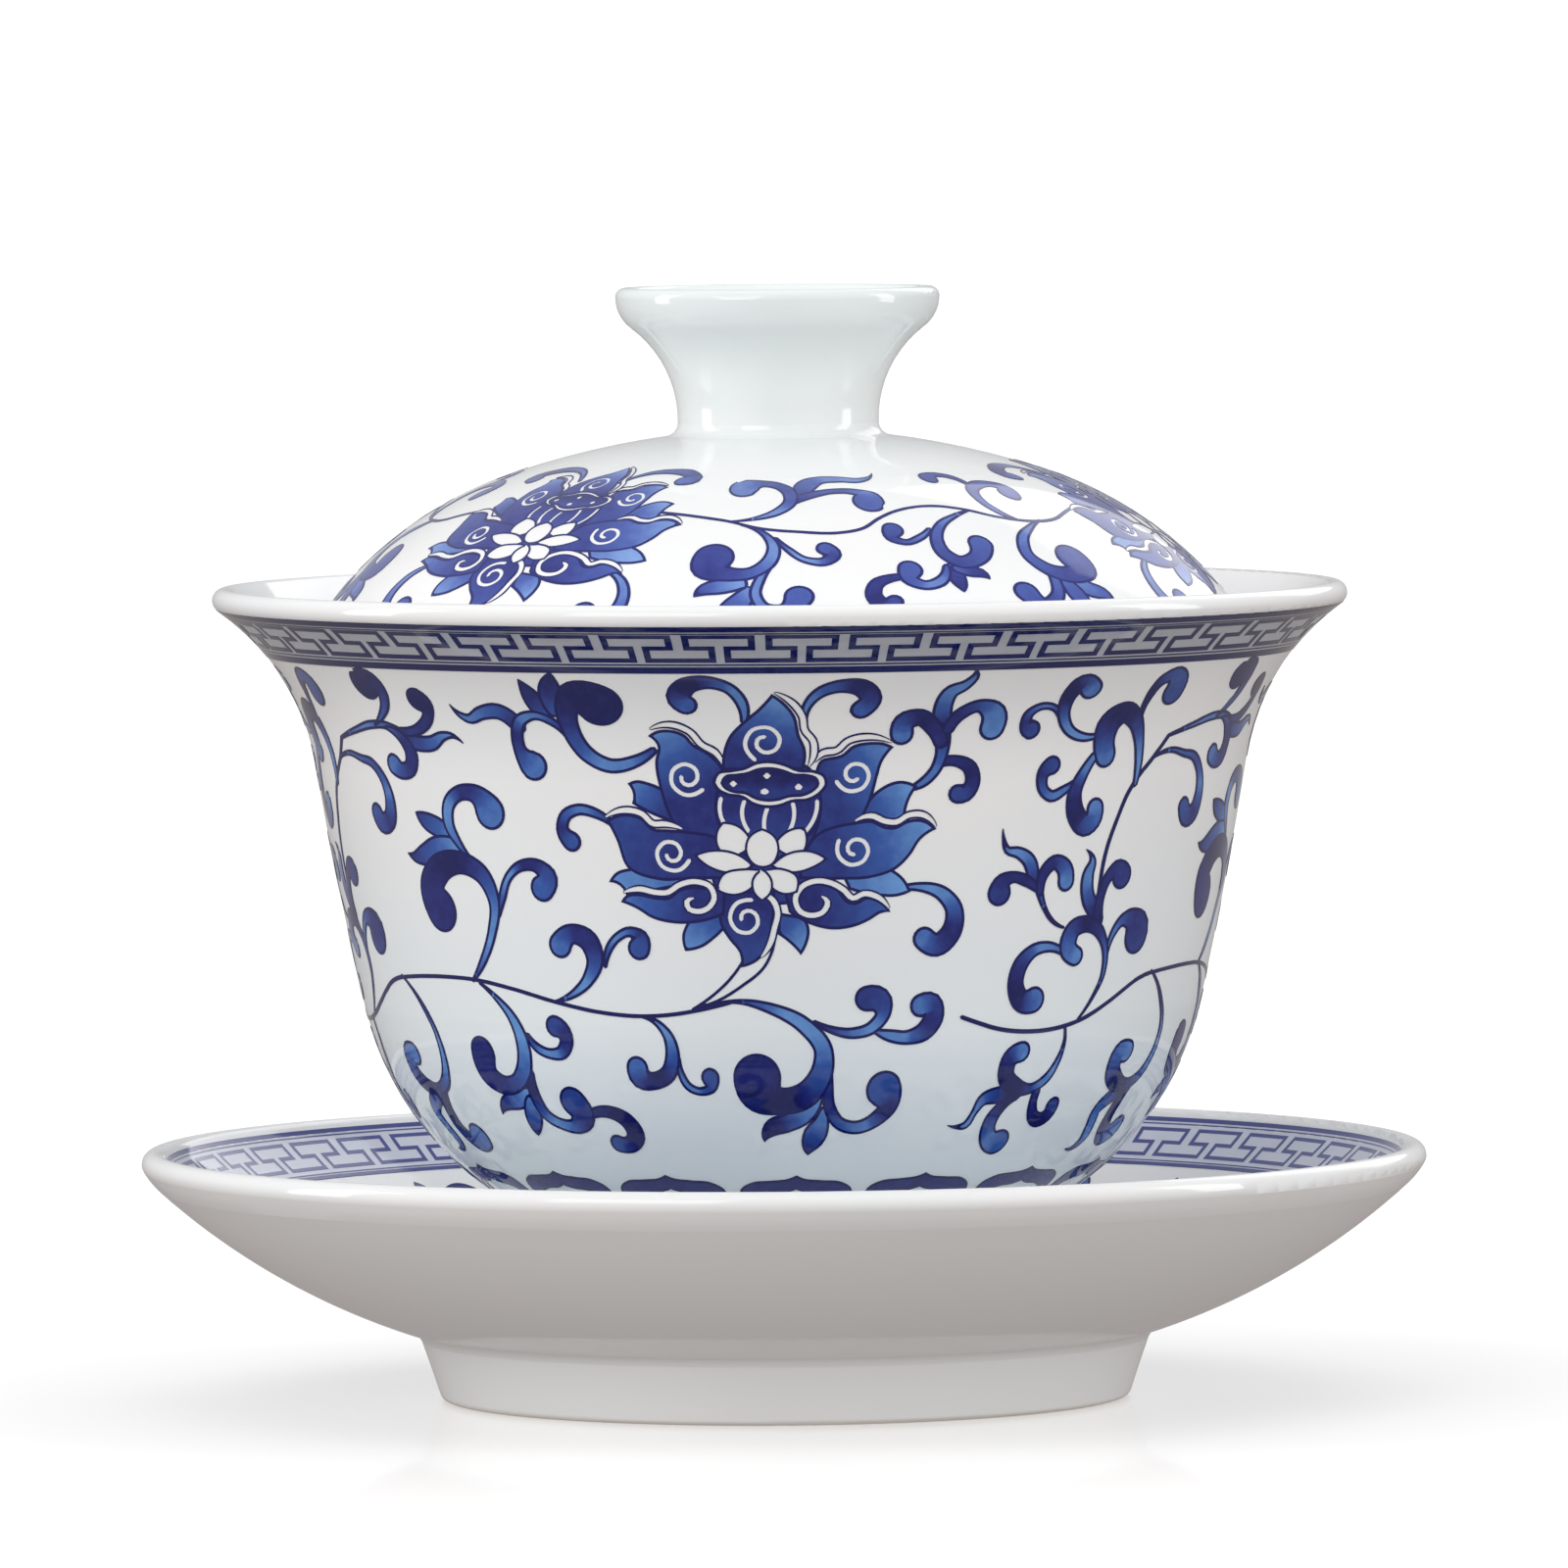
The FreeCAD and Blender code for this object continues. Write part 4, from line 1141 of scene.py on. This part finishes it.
def paint_lid():
    """The lid's own scroll, in a slightly paler blue."""
    skin = porcelain("lid_porcelain", CELADON, tinted_from=0.080, tinted_to=0.095, foot=NO_FOOT)
    set_material("lid", skin)
    wall = Wall("lid", radius=35.0, length=41.2, side=FACES_UP, walk_up=True)
    line = cobalt("lid_line", LID_BLUES, LINE_DRIFT)
    wash = cobalt("lid_wash", LID_BLUES, WASH_DRIFT)
    paint("lid_scroll", lid_pattern(), wall, THIRDS, line, wash)


def paint_saucer():
    """A softer fret inside the rim, and the lid's scroll stretched to fit below it."""
    skin = porcelain("saucer_porcelain", COOL_WHITE, tinted_from=0.012, tinted_to=0.004, foot=0.0)
    set_material("saucer", skin)
    wall = Wall("saucer", radius=55.0, length=30.27, side=FACES_UP, walk_up=True)
    films = 5
    lavender = tint_and_painted_shade("band_lavender", BAND_LAVENDER)
    paint_belt("saucer_band_ground", wall, low=21.15, high=26.9, repeats=films, material=lavender)
    units = 50  # of the fret, all the way round
    rings = [(26.9, 0.45), (21.15, 0.45), (21.6, 0.14), (26.4, 0.14)]
    fret = band(units // films, wall.around / units, fret_low=22.4, fret_high=25.7, line=0.45, rings=rings)
    paint("saucer_fret", fret, wall, films, cobalt("soft_cobalt", SOFT_BLUES, drift=0.04))
    scroll = shift_all(lid_pattern(), scale=(1.179, 0.76), shift=(10.7, -8.4))
    line = cobalt("saucer_line", BLUES, LINE_DRIFT)
    wash = cobalt("saucer_wash", BLUES, WASH_DRIFT)
    paint("saucer_scroll", scroll, wall, 4, line, wash)


def set_stage():
    """The camera, a pale floor and soft light, with plain display of its colours."""
    add_camera()
    add_floor()
    add_world()
    add_ceiling_light()
    add_light("key", place=(-0.7, -1.3, 0.9), size=(0.9, 0.9), power=7)
    add_light("left_strip", place=(-1.1, 0.0, 0.35), size=(0.3, 1.0), power=4)
    add_light("right_strip", place=(1.1, -0.1, 0.35), size=(0.3, 1.0), power=4)
    add_light("back_right", place=(0.9, 1.6, 1.1), size=(1.1, 1.3), power=5)
    fill = add_light("fill", place=(0.0, -1.6, 0.30), size=(1.2, 0.5), power=6)
    fill.visible_glossy = False
    bpy.context.scene.view_settings.view_transform = "Standard"


paint_bowl()
paint_lid()
paint_saucer()
set_stage()
